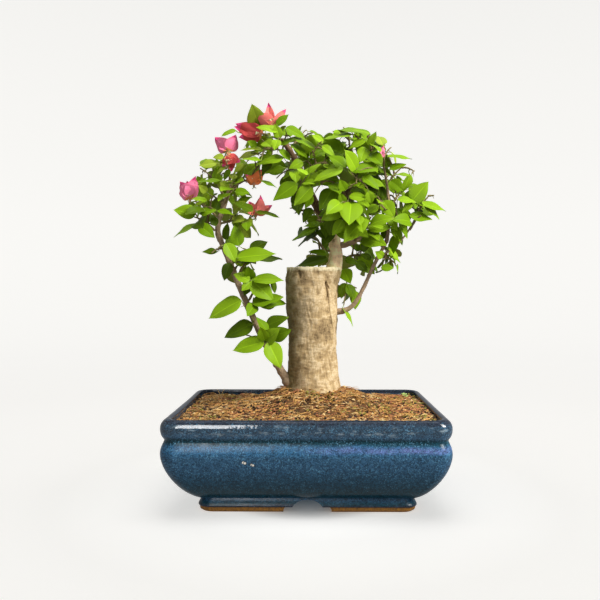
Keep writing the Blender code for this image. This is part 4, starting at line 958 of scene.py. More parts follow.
def glazed_stoneware(looks):
    """Stoneware dipped in a cobalt glaze and fired: glassy, closely speckled pale and dark, thick and dark in
    the hollows, with painted shade in the groove and low on the pot, paler along the shoulder as a painted
    highlight with a painted violet bloom, and broken to brown where it ran thin over the rim."""
    made, tree, shader = new_material("glazed_stoneware", {"IOR": 1.54, "Metallic": 0.0})
    place = node(tree, "TexCoord")["Object"]
    parts = node(tree, "SeparateXYZ", (place,))
    # The bands wander by about 1.5 mm over 25 mm of the wall, as a glaze runs
    runs = pattern(tree, "Noise", 25.0, Detail=3.0)["Fac"]
    wander = product(tree, (runs, 0.0, 1.0, -GLAZE_WANDER, GLAZE_WANDER))
    level = node(tree, "Math", (parts["Z"], wander), operation="ADD")["Value"]
    bands = [(share, list(getattr(looks, band))) for share, band in GLAZE_BANDS]
    tinted = node(tree, "ValToRGB", (product(tree, (level, 0.0, POT_TOP)),), bands)["Color"]
    cloud = pattern(tree, "Noise", 11.0, Detail=4.0)["Fac"]
    # The bloom, a painted violet highlight, lies on the shoulder's right half
    tinted = laid_on(tree, tinted, looks.bloom, (level, *SHOULDER_BELOW), (level, *SHOULDER_ABOVE),
                     (parts["X"], *PAINTED_HIGHLIGHT_ACROSS), (cloud, 0.30, 0.60, 0.3, 1.0))
    # Every speck of 0.5 mm has its own tone; real specks are half that, finer than the render shows
    for size, darkest, lightest in SPECKS:
        tone = node(tree, "SeparateColor", (pattern(tree, "Voronoi", size)["Color"],))["Red"]
        mix = {0: 1.0, 6: tinted, 7: product(tree, (tone, 0.0, 1.0, darkest, lightest))}
        tinted = node(tree, "Mix", mix, data_type="RGBA", blend_type="MULTIPLY")[2]
    # Pale specks of 0.7 mm stand in clouds, and are fewer on the rim and near the feet
    tone = node(tree, "SeparateColor", (pattern(tree, "Voronoi", 0.7)["Color"],))["Green"]
    tinted = laid_on(tree, tinted, looks.speckle, (tone, 0.80, 0.92), (cloud, 0.36, 0.62, 0.15, 0.70),
                     (level, POT_TOP, LIP_HEIGHT, 0.15, 1.0), (level, *SPECKLED_FROM, 0.2, 1.0))
    # On the lip the clay shows in flecks of about 3 mm, stretched along it
    worn = pattern(tree, "Noise", 4.5, (0.35, 0.35, 1.0), Detail=5.0, Roughness=0.7)["Fac"]
    tinted = laid_on(tree, tinted, looks.fleck, (level, *LIP_BELOW), (level, *LIP_ABOVE),
                     (worn, 0.54, 0.68, 0.0, 0.8))
    # Two chips in the front, near white as a partly painted highlight, each in a dark ring where the glaze
    # breaks
    for chip in CHIPS:
        away = node(tree, "VectorMath", (place, chip), operation="DISTANCE")["Value"]
        tinted = laid_on(tree, tinted, looks.rim, (away, CHIP_RADIUS * CHIP_MARGIN, CHIP_RADIUS))
        tinted = laid_on(tree, tinted, looks.chip, (away, CHIP_RADIUS, CHIP_RADIUS * 0.8))
    # The glaze is glassiest on the lip
    matt = product(tree, (cloud, 0.2, 0.8, 0.5, 1.5), (level, *LIP_GLOSS, 0.27, 0.07))
    glassy = product(tree, (level, *LIP_GLOSS, 0.20, 0.60), (level, *RIM_GLOSS, 1.0, 0.2))
    # Orange peel: hollows of 3 mm
    peel = pattern(tree, "Noise", 3.0, Detail=3.0)["Fac"]
    bump = node(tree, "Bump", {"Height": peel, "Strength": 0.12, "Distance": 0.0006})["Normal"]
    fill(tree, shader, {"Base Color": tinted, "Roughness": matt, "Specular IOR Level": glassy,
                        "Normal": bump})
    return made


def bare_stoneware(looks):
    """Unglazed stoneware, fired brown and wiped clean: matt and gritty with iron specks."""
    made, tree, shader = new_material("bare_stoneware", {"IOR": 1.5, "Roughness": 0.82})
    # Grit of 1.6 mm, coarser than life, so that it shows
    grit = pattern(tree, "Noise", 1.6, Detail=5.0)["Fac"]
    clay = list(looks.clay)
    stops = ((0.30, scaled(clay, 0.45)), (0.72, scaled(clay, 1.45)), (0.5, clay))
    tone = node(tree, "ValToRGB", (grit,), stops)["Color"]
    bump = node(tree, "Bump", {"Height": grit, "Strength": 0.5, "Distance": 0.0004})["Normal"]
    fill(tree, shader, {"Base Color": tone, "Normal": bump})
    return made


def woody(name, tint, roughness, dark=0.62, light=1.25, grain_mm=0.8):
    """A matt plant surface: one colour, mottled in grains of this size, with a fine bump."""
    made, tree, shader = new_material(name, {"Roughness": roughness, "IOR": 1.45})
    grain = pattern(tree, "Noise", grain_mm, Detail=3.0)["Fac"]
    stops = ((0.30, scaled(tint, dark)), (0.70, scaled(tint, light)))
    tone = node(tree, "ValToRGB", (grain,), stops)["Color"]
    bump = node(tree, "Bump", {"Height": grain, "Strength": 0.35, "Distance": 0.0003})["Normal"]
    fill(tree, shader, {"Base Color": tone, "Normal": bump})
    return made


def old_bark(looks, name="bougainvillea_bark", tint=None):
    """Bark that split as the stem thickened: pale corky ridges over brown fissures, quite matt.  The
    relief that the mesh carries tells ridge from fissure."""
    made, tree, shader = new_material(name, {"Roughness": 0.88, "IOR": 1.45})
    relief = node(tree, "Attribute", attribute_name="relief")["Fac"]
    face = list(tint) if tint else list(looks.face)
    ridge = scaled(face, 1.35) if tint else list(looks.ridge)
    # Wrinkles of 0.9 mm by 3 mm across the stem, fibres of 0.6 mm by 3 mm along it, flakes of 8 mm
    mixed = product(tree, (relief, 0.0, 1.0, -BARK_TONE, BARK_TONE))
    for size, stretch, strength in BARK_GRAINS:
        grain = pattern(tree, "Noise", size, stretch, Detail=4.0, Roughness=0.6)["Fac"]
        share = product(tree, (grain, 0.0, 1.0, -strength / 2, strength / 2))
        mixed = node(tree, "Math", (mixed, share), operation="ADD")["Value"]
    stops = ((0.05, list(looks.fissure)), (0.92, ridge), (0.34, scaled(face, 0.80)), (0.60, face))
    tinted = node(tree, "ValToRGB", (product(tree, (mixed, -0.30, 0.30)),), stops)["Color"]
    if tint is None:
        parts = node(tree, "SeparateXYZ", (node(tree, "TexCoord")["Object"],))
        ragged = product(tree, (mixed, -0.3, 0.3, -CUT_RAGGED_BY, CUT_RAGGED_BY))
        level = node(tree, "Math", (parts["Z"], ragged), operation="ADD")["Value"]
        # Painted shade with a green tinge darkens the trunk's left side, up to below the cut
        tinted = laid_on(tree, tinted, looks.moss, (parts["X"], *SHADED_LEFT_SIDE),
                         (level, *SHADED_SIDE_UP_TO, *SIDE_SHADE_STRENGTH))
        # The weathered cut: pale wood, made paler still as painted light from above
        tinted = laid_on(tree, tinted, looks.cut, (level, *CUT_EDGE))
    bump = node(tree, "Bump", {"Height": mixed, "Strength": 0.45, "Distance": 0.0007})["Normal"]
    fill(tree, shader, {"Base Color": tinted, "Normal": bump})
    return made


def leaf_surface(name, tint, roughness=0.38, sheen=0.0):
    """A living leaf: waxy and smooth above, so it catches soft highlights, with a faint cell pattern.
    Its colour is even, and each spray has its own."""
    made, tree, shader = new_material(name, {
        "Base Color": list(tint), "Roughness": roughness, "IOR": 1.42, "Specular IOR Level": 0.08,
        "Sheen Weight": sheen})
    # Cells are drawn at 1.5 mm, coarser than life, so that they show
    cells = pattern(tree, "Noise", 1.5, Detail=2.0)["Fac"]
    bump = node(tree, "Bump", {"Height": cells, "Strength": 0.18, "Distance": 0.0004})["Normal"]
    fill(tree, shader, {"Normal": bump})
    return made


def loft(loops):
    """Points and faces of a closed body through loops of equal length."""
    count = len(loops[0])
    points = [point for loop in loops for point in loop]
    faces = [tuple(range(count)), tuple(range((len(loops) - 1) * count, len(loops) * count))]
    for row in range(len(loops) - 1):
        for i in range(count):
            j = (i + 1) % count
            a = row * count
            faces.append((a + i, a + j, a + count + j, a + count + i))
    return points, faces


class Batch:
    """Many small closed shapes that become one piece, each face with its finish."""

    def __init__(self):
        self.points = []
        self.faces = []
        self.finishes = []

    def add(self, shape, finish=0):
        """Adds points and faces; finish is one index, or one for each face."""
        points, faces = shape
        first = len(self.points)
        self.points += points
        self.faces += [tuple(first + i for i in face) for face in faces]
        self.finishes += finish if isinstance(finish, list) else [finish] * len(faces)


def add_piece(name, batch, materials, replaces=(), smooth_angle=60.0, relief=None):
    """One finished piece that rides with the plant, its faces turned outwards."""
    mesh = bpy.data.meshes.new(name)
    mesh.from_pydata([tuple(point) for point in batch.points], [], batch.faces)
    for finish in materials:
        mesh.materials.append(finish)
    mesh.polygons.foreach_set("material_index", batch.finishes)
    shape = bmesh.new()
    shape.from_mesh(mesh)
    bmesh.ops.recalc_face_normals(shape, faces=shape.faces)
    shape.to_mesh(mesh)
    shape.free()
    mesh.shade_smooth()
    mesh.set_sharp_from_angle(angle=math.radians(smooth_angle))
    if relief:
        mesh.attributes.new("relief", "FLOAT", "POINT").data.foreach_set("value", relief)
    piece = bpy.data.objects.new(name, mesh)
    bpy.context.scene.collection.objects.link(piece)
    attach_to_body(piece, BODY)
    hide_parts(*replaces)


def rounded_rectangle(half_x, half_y, corner, z, corner_steps, side_steps):
    """A level loop round a rectangle with rounded corners, anticlockwise from +X."""
    corners = ((1, 1), (-1, 1), (-1, -1), (1, -1))
    loop = []
    for quarter, (sx, sy) in enumerate(corners):
        centre = Vector((sx * (half_x - corner), sy * (half_y - corner), z))
        for step in range(corner_steps + 1):
            angle = math.radians(90 * quarter + 90 * step / corner_steps)
            loop.append(centre + corner * Vector((math.cos(angle), math.sin(angle), 0)))
        nx, ny = corners[(quarter + 1) % 4]
        angle = math.radians(90 * quarter + 90)
        end = Vector((nx * (half_x - corner), ny * (half_y - corner), z))
        end += corner * Vector((math.cos(angle), math.sin(angle), 0))
        start = loop[-1]
        steps = side_steps[quarter % 2]
        loop += [start.lerp(end, step / steps) for step in range(1, steps)]
    return loop


def pot_loop(inset, z, corner_steps=FINE_CORNER, side_steps=FINE_SIDES):
    """The pot's plan at one height, drawn in from its widest section."""
    corner = max(POT_CORNER - CORNER_TAPER * inset, SMALLEST_CORNER)
    return rounded_rectangle(POT_HALF_X - inset, POT_HALF_Y - inset * DEPTH_SHARE, corner, z,
                             corner_steps, side_steps)


def belly_inset(z, foot):
    """How far the belly is drawn in at a height below its widest, down to its foot."""
    share = max(BELLY_HEIGHT - z, 0.0) / (BELLY_HEIGHT - foot)
    return BELLY_TUCK * (1 - max(0.0, 1 - share ** BELLY_ROUNDNESS) ** (1 / BELLY_ROUNDNESS))


def eased(profile, passes):
    """A profile with its sharp turns rounded off."""
    for _ in range(passes):
        inner = [tuple((a[i] + 2 * b[i] + c[i]) / 4 for i in range(2))
                 for a, b, c in zip(profile, profile[1:], profile[2:])]
        profile = [profile[0], *inner, profile[-1]]
    return profile


def pot_profile():
    """(inset, z) up the outside, over the rim and down the inside to the floor."""
    profile = []
    for step in range(FINE_BELLY + 1):
        rise = (step / FINE_BELLY) ** BELLY_CROWDING
        z = BELLY_FLOOR + (BELLY_HEIGHT - BELLY_FLOOR) * rise
        profile.append((belly_inset(z, BELLY_FLOOR), z))
    for step in range(1, FINE_SHOULDER + 1):
        share = step / FINE_SHOULDER
        z = BELLY_HEIGHT + (GROOVE_HEIGHT - BELLY_HEIGHT) * share
        profile.append((GROOVE_DEPTH * share ** SHOULDER_ROUNDNESS, z))
    for step in range(1, FINE_LIP + 1):
        turn = math.pi / 2 * step / FINE_LIP
        inset = GROOVE_DEPTH * (1 - math.sin(turn))
        profile.append((inset, LIP_HEIGHT - (LIP_HEIGHT - GROOVE_HEIGHT) * math.cos(turn)))
    for step in range(1, FINE_RIM + 1):
        turn = math.pi / 2 * step / FINE_RIM
        inset = RIM_ROUNDING * (1 - math.cos(turn))
        profile.append((inset, LIP_HEIGHT + (POT_TOP - LIP_HEIGHT) * math.sin(turn)))
    profile = eased(profile, GROOVE_EASING)
    edge = WALL_SEEN - RIM_ROUNDING - RIM_WIDTH_SEEN
    profile.append((RIM_ROUNDING + RIM_WIDTH_SEEN * 0.5, POT_TOP - RIM_EASING * 0.5))
    for step in range(RIM_EDGE_STEPS + 1):
        turn = math.pi / 2 * step / RIM_EDGE_STEPS
        inset = RIM_ROUNDING + RIM_WIDTH_SEEN + edge * math.sin(turn)
        profile.append((inset, POT_TOP - RIM_EASING - (RIM_EDGE - RIM_EASING) * (1 - math.cos(turn))))
    for step in range(1, FINE_INSIDE + 1):
        z = POT_TOP - RIM_EDGE + (POT_FLOOR - POT_TOP + RIM_EDGE) * step / FINE_INSIDE
        profile.append((WALL_SEEN + belly_inset(z, POT_FLOOR), z))
    return profile


def slumped(point):
    """A point of the pot or its soil, moved out where the front left corner slumped."""
    left = min(max((point.x - SLUMP_FROM_X) / (-POT_HALF_X - SLUMP_FROM_X), 0.0), 1.0)
    front = min(max((SLUMP_FROM_Y - point.y) / SLUMP_OVER_Y, 0.0), 1.0)
    return point - Vector((SLUMP * left * front, 0, 0))


def rippled(point, depth):
    """A point of the glazed wall, drawn in a little where the glaze runs uneven."""
    wave = noise.noise(point / GLAZE_RIPPLE_SPACING) + 0.5 * noise.noise(point / (GLAZE_RIPPLE_SPACING / 3))
    away = Vector((point.x / POT_HALF_X ** 2, point.y / POT_HALF_Y ** 2, 0)).normalized()
    return slumped(point) - away * (depth * (1 + wave) / 2)


def make_pot(looks, glaze):
    """The pot: one glazed wall, up the outside, over the rim and down to its floor."""
    batch = Batch()
    batch.add(loft([[rippled(point, looks.ripple) for point in pot_loop(inset, z)]
                    for inset, z in pot_profile()]))
    add_piece("pot_body", batch, [glaze], ["pot"], smooth_angle=75.0)


def foot_plan(sx, sy, inset, arch):
    """The L-shaped plan of one foot at one level, its arms ending at the arches' share of opening."""
    half_x, half_y = FOOT_HALF_X - inset, FOOT_HALF_Y - inset
    arch_x, arch_y = (FOOT_ARCH_X + FOOT_EASING) * arch, (FOOT_ARCH_Y + FOOT_EASING) * arch
    inner_x, inner_y = FOOT_HALF_X - FOOT_WIDTH + inset, FOOT_HALF_Y - FOOT_WIDTH + inset
    turns = [math.pi / 2 * step / FOOT_CORNER_STEPS for step in range(FOOT_CORNER_STEPS + 1)]
    corner = [(half_x - FOOT_CORNER * (1 - math.sin(turn)), half_y - FOOT_CORNER * (1 - math.cos(turn)))
              for turn in turns]
    return [(sx * x, sy * y) for x, y in ((arch_x, half_y), *corner, (half_x, arch_y), (inner_x, arch_y),
                                          (inner_x, inner_y), (arch_x, inner_y))]


def foot_flare(z):
    """How far a foot is drawn in at a height, from its solid's own levels."""
    for (low, a), (high, b) in zip(FOOT_FLARE, FOOT_FLARE[1:]):
        if z <= high:
            share = (z - low) / (high - low)
            return a + (b - a) * share * share * (3 - 2 * share)
    return FOOT_FLARE[-1][1] + (z - FOOT_TOP) * 0.5


def make_feet(looks, glaze):
    """The four feet: glazed above, bare at their soles."""
    batch = Batch()
    levels = [ARCH_CROWN * step / FOOT_LEVELS for step in range(FOOT_LEVELS + 1)]
    rest = FOOT_TOP + FOOT_SINK - ARCH_CROWN
    levels += [ARCH_CROWN + rest * step / FOOT_LEVELS_ABOVE for step in range(1, FOOT_LEVELS_ABOVE + 1)]
    for sx, sy in ((-1, -1), (1, -1), (-1, 1), (1, 1)):
        for bare in (True, False):
            loops = []
            for z in levels:
                if (z > SOLE_HEIGHT + SOLE_OVERLAP) if bare else (z < SOLE_HEIGHT - SOLE_OVERLAP):
                    continue
                roll = math.exp(-abs(z - SOLE_HEIGHT) / GLAZE_ROLL_HEIGHT)
                inset = foot_flare(z) + (SOLE_INSET if bare else -GLAZE_ROLL * roll)
                inset += FOOT_EASING * max(0.0, 1 - z / FOOT_EASING_HEIGHT) ** 2
                arch = max(1 - (z / ARCH_CROWN) ** ARCH_ROUNDNESS, 0.0) ** 0.5
                arch *= SOLE_ARCH if bare else GLAZED_ARCH
                loops.append([Vector((x, y, z)) for x, y in foot_plan(sx, sy, inset, arch)])
            batch.add(loft(loops), 1 if bare else 0)
    add_piece("pot_feet", batch, [glaze, bare_stoneware(looks)],
              ["foot_front_left", "foot_front_right", "foot_back_left", "foot_back_right"], 40.0)


def trunk_radius(azimuth, z):
    """The trunk's radius in one direction at one height, with its flare and collars."""
    height = z - TRUNK_FOOT.z
    rise = height / (TRUNK_TOP.z - TRUNK_FOOT.z)
    radius = TRUNK_RADIUS * (1 - TRUNK_WAIST * math.sin(math.pi * rise) + TRUNK_SWELL * rise)
    radius += ROOT_FLARE * math.exp(-height / ROOT_FLARE_HEIGHT)
    for stands, lobes, twist in RIBS:
        radius += stands * math.sin(lobes * azimuth + twist * rise)
    for degrees, level, stands, half_angle, half_height in COLLARS:
        turn = math.remainder(azimuth - math.radians(degrees), math.tau)
        around = math.exp(-(turn / math.radians(half_angle)) ** 2)
        radius += stands * around * math.exp(-((z - level) / half_height) ** 2)
    return radius


def curve_point(controls, share):
    """A point on the cubic curve with these four control points."""
    a, b, c, d = controls
    rest = 1 - share
    return a * rest ** 3 + b * (3 * share * rest ** 2) + c * (3 * share ** 2 * rest) + d * share ** 3


def skin(path, radius_at, sides, setting_out=None):
    """A closed tube whose radius depends on the ring and on the turn round it, its rings turned as
    little as can be."""
    loops, across = [], None
    for i, point in enumerate(path):
        ahead = path[min(i + 1, len(path) - 1)] - path[max(i - 1, 0)]
        if i == 0 and setting_out:
            ahead = setting_out
        ahead = ahead.normalized()
        if across is None:
            across = ahead.orthogonal().normalized()
        across = (across - ahead * across.dot(ahead)).normalized()
        upward = ahead.cross(across)
        loop = []
        for side in range(sides):
            turn = math.tau * side / sides
            loop.append(point + (across * math.cos(turn) + upward * math.sin(turn)) * radius_at(i, turn))
        loops.append(loop)
    return loft(loops)


def tube(path, radii, sides, setting_out=None):
    """A tapering tube, with one radius for each ring."""
    return skin(path, lambda i, turn: radii[i], sides, setting_out)


def solid_of(owner, points, faces):
    """What the growth needs to know of a solid: its owner, its reach and its surface."""
    centre = sum(points, Vector()) / len(points)
    reach = max((point - centre).length for point in points)
    return Solid(owner, centre, reach, BVHTree.FromPolygons(points, faces))


def attach(tree, inner, outer, radius):
    """Where a limb of this radius starts, just clear of the surface that it leaves."""
    back = (inner - outer).normalized()
    across = back.orthogonal().normalized()
    origins = [outer]
    for step in range(ROOT_RAYS):
        rim = across.copy()
        rim.rotate(Matrix.Rotation(math.tau * step / ROOT_RAYS, 3, back))
        origins += [outer + rim * (radius * share) for share in ROOT_SHARES]
    reaches = [tree.ray_cast(origin, back)[3] for origin in origins]
    return outer + back * (min(reach for reach in reaches if reach is not None) - GAP)


class Tree:
    """The limbs and the foliage as they grow, with what is already standing."""

    def __init__(self, points, faces):
        self.standing = [solid_of("trunk", points, faces)]
        self.curves = {}
        self.shapes = {}

    def tree_of(self, name):
        """The surface of a solid that stands, by its owner's name."""
        return next(solid.tree for solid in self.standing if solid.owner == name)

    def leave(self, host, share, outer, radius):
        """The start of a limb or stem that leaves this host towards a point outside it."""
        if host == "trunk" and share is None:
            inner = Vector((outer.x, outer.y, TRUNK_TOP.z)) - CUT_ROOT
        elif host == "trunk":
            inner = Vector((TRUNK_FOOT.x, TRUNK_FOOT.y, share))
        else:
            inner = curve_point(self.curves[host], min(share, LAST_ROOT))
        return attach(self.tree_of(host), inner, outer, radius)

    def grow_limb(self, limb):
        """One limb, from just outside its host along its bends."""
        bends = [Vector(bend) for bend in limb.bends]
        start = self.leave(limb.host, limb.share, bends[0], limb.radius)
        controls = (start, *bends)
        path = [curve_point(controls, step / LIMB_STEPS) for step in range(LIMB_STEPS + 1)]
        spread = limb.radius - limb.tip_radius
        radii = [limb.radius - spread * step / LIMB_STEPS for step in range(LIMB_STEPS + 1)]
        shape = tube(path, radii, LIMB_SIDES, bends[0] - start)
        self.curves[limb.name] = controls
        self.shapes[limb.name] = shape
        self.standing.append(solid_of(limb.name, *shape))

    def is_clear(self, shape, owner, host=None):
        """Whether a shape touches nothing that stands, save its own twigs and its host."""
        points, faces = shape
        tested = solid_of(owner, points, faces)
        for solid in self.standing:
            if solid.owner in (owner, host):
                continue
            if (solid.centre - tested.centre).length > solid.reach + tested.reach:
                continue
            if solid.tree.overlap(tested.tree):
                return False
        return True

    def grow_stem(self, mass, owner):
        """The stem of one mass, from its limb into its space, with the bow that keeps it clear."""
        middle = Vector(mass.middle)
        outer = middle
        if mass.limb != "trunk":
            root = curve_point(self.curves[mass.limb], mass.share)
            way = middle - root
            outer = root + way.normalized() * max(STEM_SET_OUT * way.length, STEM_CLEAR)
        start = self.leave(mass.limb, mass.share, outer, STEM_RADIUS)
        tip = middle + (middle - start).normalized() * (STEM_REACH * mass.half[2])
        if mass.flowers:
            tip = middle - Vector((0, 0, FLOWER_DROP * mass.half[2]))
        for shift in STEM_SHIFTS:
            path = bowed(start, tip + Vector((0, -shift * mass.half[1], 0)), STEM_BOW + shift)
            free = twig_shape(path[1:], STEM_RADIUS, GAP)
            if self.is_clear(free, owner) and self.is_clear(twig_shape(path, STEM_RADIUS), owner):
                return path
        raise RuntimeError(f"{mass.name} has no clear way for its stem")

    def grow_twigs(self, mass):
        """The stem and side twigs of one mass, which keep clear of all that stands."""
        draw = random.Random(mass.seed)
        owner = "foliage_" + mass.name
        phase = draw.uniform(0, math.tau)
        stem = self.grow_stem(mass, owner)
        twigs = [stem]
        self.standing.append(solid_of(owner, *twig_shape(stem, STEM_RADIUS)))
        for index in range(mass.twigs):
            rise = (LAST_TWIG - FIRST_TWIG) * index / max(mass.twigs - 1, 1)
            place, along = on_path(stem, FIRST_TWIG + rise)
            azimuth = phase + TWIG_PHASE + index * TWIG_TURN + draw.uniform(-TWIG_STRAY, TWIG_STRAY)
            way = opened(along, azimuth, TWIG_OPENING)
            way.z += TWIG_LIFT
            reach = TWIG_LENGTH * (mass.half[0] + mass.half[2]) / 2 * draw.uniform(*TWIG_LENGTHS)
            path = bowed(place, place + way.normalized() * reach, STEM_BOW)
            inside = in_space(mass, [path[-1]])
            if inside and self.is_clear(twig_shape(path, TWIG_RADIUS, GAP), owner):
                twigs.append(path)
                self.standing.append(solid_of(owner, *twig_shape(path, TWIG_RADIUS)))
        return draw, phase, twigs

    def grow_leaves(self, mass, draw, phase, twigs):
        """The flowers and leaves of one mass, set round its twigs."""
        owner = "foliage_" + mass.name
        grown = self.grow_flowers(mass, draw, twigs)
        for rank, path in enumerate(twigs):
            count = mass.leaves if rank == 0 else TWIG_LEAVES
            first = FIRST_LEAF if rank == 0 else FIRST_TWIG_LEAF
            while first < LAST_START and not in_space(mass, [on_path(path, first)[0]]):
                first += START_STEP
            for index in range(count):
                share = first + (1 - first) * index / max(count - 1, 1)
                place, along = on_path(path, share)
                at_tip = index == count - 1 and not (rank < mass.flowers)
                leaf = self.place_leaf(draw, mass, owner, place, along,
                                       phase + rank + index * GOLDEN_ANGLE, share, at_tip)
                if leaf:
                    grown.append(leaf)
        return grown

    def place_leaf(self, draw, mass, owner, place, along, azimuth, share, at_tip):
        """A leaf in the mass's space that clears everything, or None after a few tries."""
        away = Vector((place.x - TRUNK_TOP.x, place.y - CROWN_AXIS_Y, 0)).normalized()
        for attempt in range(LEAF_TRIES):
            turned = azimuth + attempt * RETRY_TURN
            opening = LEAF_OPENING * draw.uniform(*LEAF_OPENINGS) * (TIP_OPENING if at_tip else 1.0)
            axis = opened(along, turned, opening)
            axis.z -= LEAF_SAG * draw.uniform(*LEAF_SAGS)
            axis.normalize()
            size = mass.size * draw.uniform(*LEAF_SIZES) * (1 - SMALLER_TO_TIP * share)
            size *= LEAF_RETRY ** attempt
            normal = LEAF_FACING + away * LEAF_SPREAD
            normal = (normal - axis * normal.dot(axis)).normalized()
            normal.rotate(Matrix.Rotation(draw.uniform(*LEAF_ROLLS), 3, axis))
            base = place + axis * (STALK_LENGTH * size)
            width = LEAF_WIDTH * draw.uniform(*LEAF_WIDTHS)
            droop = math.radians(draw.uniform(*LEAF_DROOPS))
            fold = math.radians(draw.uniform(*LEAF_FOLDS))
            leaf = Leaf(place, base, axis, normal, size, width, droop, fold, "leaf")
            blade = leaf_shape(leaf, 0.0, blade_only=True)[0]
            if in_space(mass, blade) and self.stands_clear(leaf, owner):
                return leaf
        return None

    def stands_clear(self, leaf, owner):
        """Adds the leaf to what stands, if it clears everything but its own twigs."""
        if not self.is_clear(leaf_shape(leaf, LEAF_CLEARANCE), owner):
            return False
        blade = leaf_shape(leaf, LEAF_CLEARANCE, blade_only=True)
        if not self.is_clear(blade, None):
            return False
        self.standing.append(solid_of(owner, *leaf_shape(leaf, 0.0)))
        return True

    def grow_flowers(self, mass, draw, twigs):
        """Three bracts at the tip of the stem, and of the first twig for a second flower."""
        owner = "foliage_" + mass.name
        bracts = []
        for index in range(mass.flowers):
            path = twigs[min(index, len(twigs) - 1)]
            place, along = on_path(path, 1.0)
            lean = (along + FLOWER_LEAN).normalized()
            phase = draw.uniform(0, math.tau)
            for petal in range(BRACTS):
                opening = BRACT_OPENING * draw.uniform(*BRACT_OPENINGS)
                axis = opened(lean, phase + petal * math.tau / BRACTS, opening)
                normal = (lean - axis * lean.dot(axis)).normalized()
                size = BRACT_LENGTH * draw.uniform(*BRACT_LENGTHS)
                width = BRACT_WIDTH * draw.uniform(*BRACT_WIDTHS)
                bract = Leaf(place, place + axis * BRACT_STALK, axis, normal, size, width,
                             BRACT_DROOP, BRACT_FOLD, "bract")
                if self.is_clear(leaf_shape(bract, LEAF_CLEARANCE), owner):
                    bracts.append(bract)
        for bract in bracts:
            self.standing.append(solid_of(owner, *leaf_shape(bract, 0.0)))
        return bracts


def in_space(mass, points):
    """Whether all these points lie in the mass's own ellipsoid."""
    for point in points:
        offset = point - Vector(mass.middle)
        if sum(abs(offset[i] / mass.half[i]) ** SPACE_SQUARENESS for i in range(3)) > SPACE_EASE:
            return False
    return True


def twig_shape(path, radius, extra=0.0):
    """A three-sided twig that tapers along its path."""
    return tube(path, tapered(radius + extra, TIP_RADIUS + extra, len(path)), 3)


def tapered(first, last, count):
    """Radii from first to last in even steps."""
    return [first + (last - first) * i / (count - 1) for i in range(count)]


def bowed(start, end, bow):
    """A path from start to end that rises a little in between."""
    lift = Vector((0, 0, bow * (end - start).length))
    shares = [i / STEM_STEPS for i in range(STEM_STEPS + 1)]
    return [start.lerp(end, share) + lift * (4 * share * (1 - share)) for share in shares]


def on_path(path, share):
    """The place at a share of a path, and the direction there."""
    place = share * (len(path) - 1)
    index = min(int(place), len(path) - 2)
    step = path[index + 1] - path[index]
    return path[index] + step * (place - index), step.normalized()


def opened(along, azimuth, opening):
    """A direction opened out from another by an angle, turned round it by the azimuth."""
    reference = Vector((0, 0, 1)) if abs(along.z) < 0.9 else Vector((1, 0, 0))
    across = along.cross(reference).normalized()
    other = along.cross(across)
    side = across * math.cos(azimuth) + other * math.sin(azimuth)
    return along * math.cos(opening) + side * math.sin(opening)


def oval(share, base=OVAL_BASE, tip=OVAL_TIP):
    """A leaf's width at a share of its length, from 0 to 1: round-based and long-pointed."""
    peak = base / (base + tip)
    return share ** base * (1 - share) ** tip / (peak ** base * (1 - peak) ** tip)


def leaf_section(leaf, share, extra=0.0):
    """Left edge, right edge and keel of a leaf at a share of its length."""
    turn = leaf.droop * share
    along = leaf.length * math.sin(turn) / leaf.droop
    down = leaf.length * (1 - math.cos(turn)) / leaf.droop
    centre = leaf.base + leaf.axis * along - leaf.normal * down
    lift = leaf.normal * math.cos(turn) + leaf.axis * math.sin(turn)
    side = leaf.axis.cross(leaf.normal)
    half = max(oval(share) * leaf.width * leaf.length / 2, STALK_RADIUS) + extra
    rise = lift * (half * math.sin(leaf.fold) + extra)
    spread = side * (half * math.cos(leaf.fold))
    keel = lift * (LEAF_THICKNESS * (1 - 0.5 * share) + extra)
    return [centre + rise - spread, centre + rise + spread, centre - keel], centre, lift


def leaf_shape(leaf, extra, blade_only=False):
    """Points and faces of a leaf: a three-sided stalk that opens into a keeled blade."""
    sections = [leaf_section(leaf, share, extra)[0] for share in LEAF_SECTIONS]
    if not blade_only:
        back = leaf.base - leaf.root
        sections.insert(0, [corner - back for corner in sections[0]])
    _, tip, _ = leaf_section(leaf, 1.0)
    points = [corner for section in sections for corner in section]
    points.append(tip + leaf.axis * extra)
    last = 3 * (len(sections) - 1)
    faces = [(0, 2, 1)]
    for row in range(0, last, 3):
        faces += [(row + i, row + (i + 1) % 3, row + 3 + (i + 1) % 3, row + 3 + i) for i in range(3)]
    faces += [(last + i, last + (i + 1) % 3, len(points) - 1) for i in range(3)]
    return points, faces


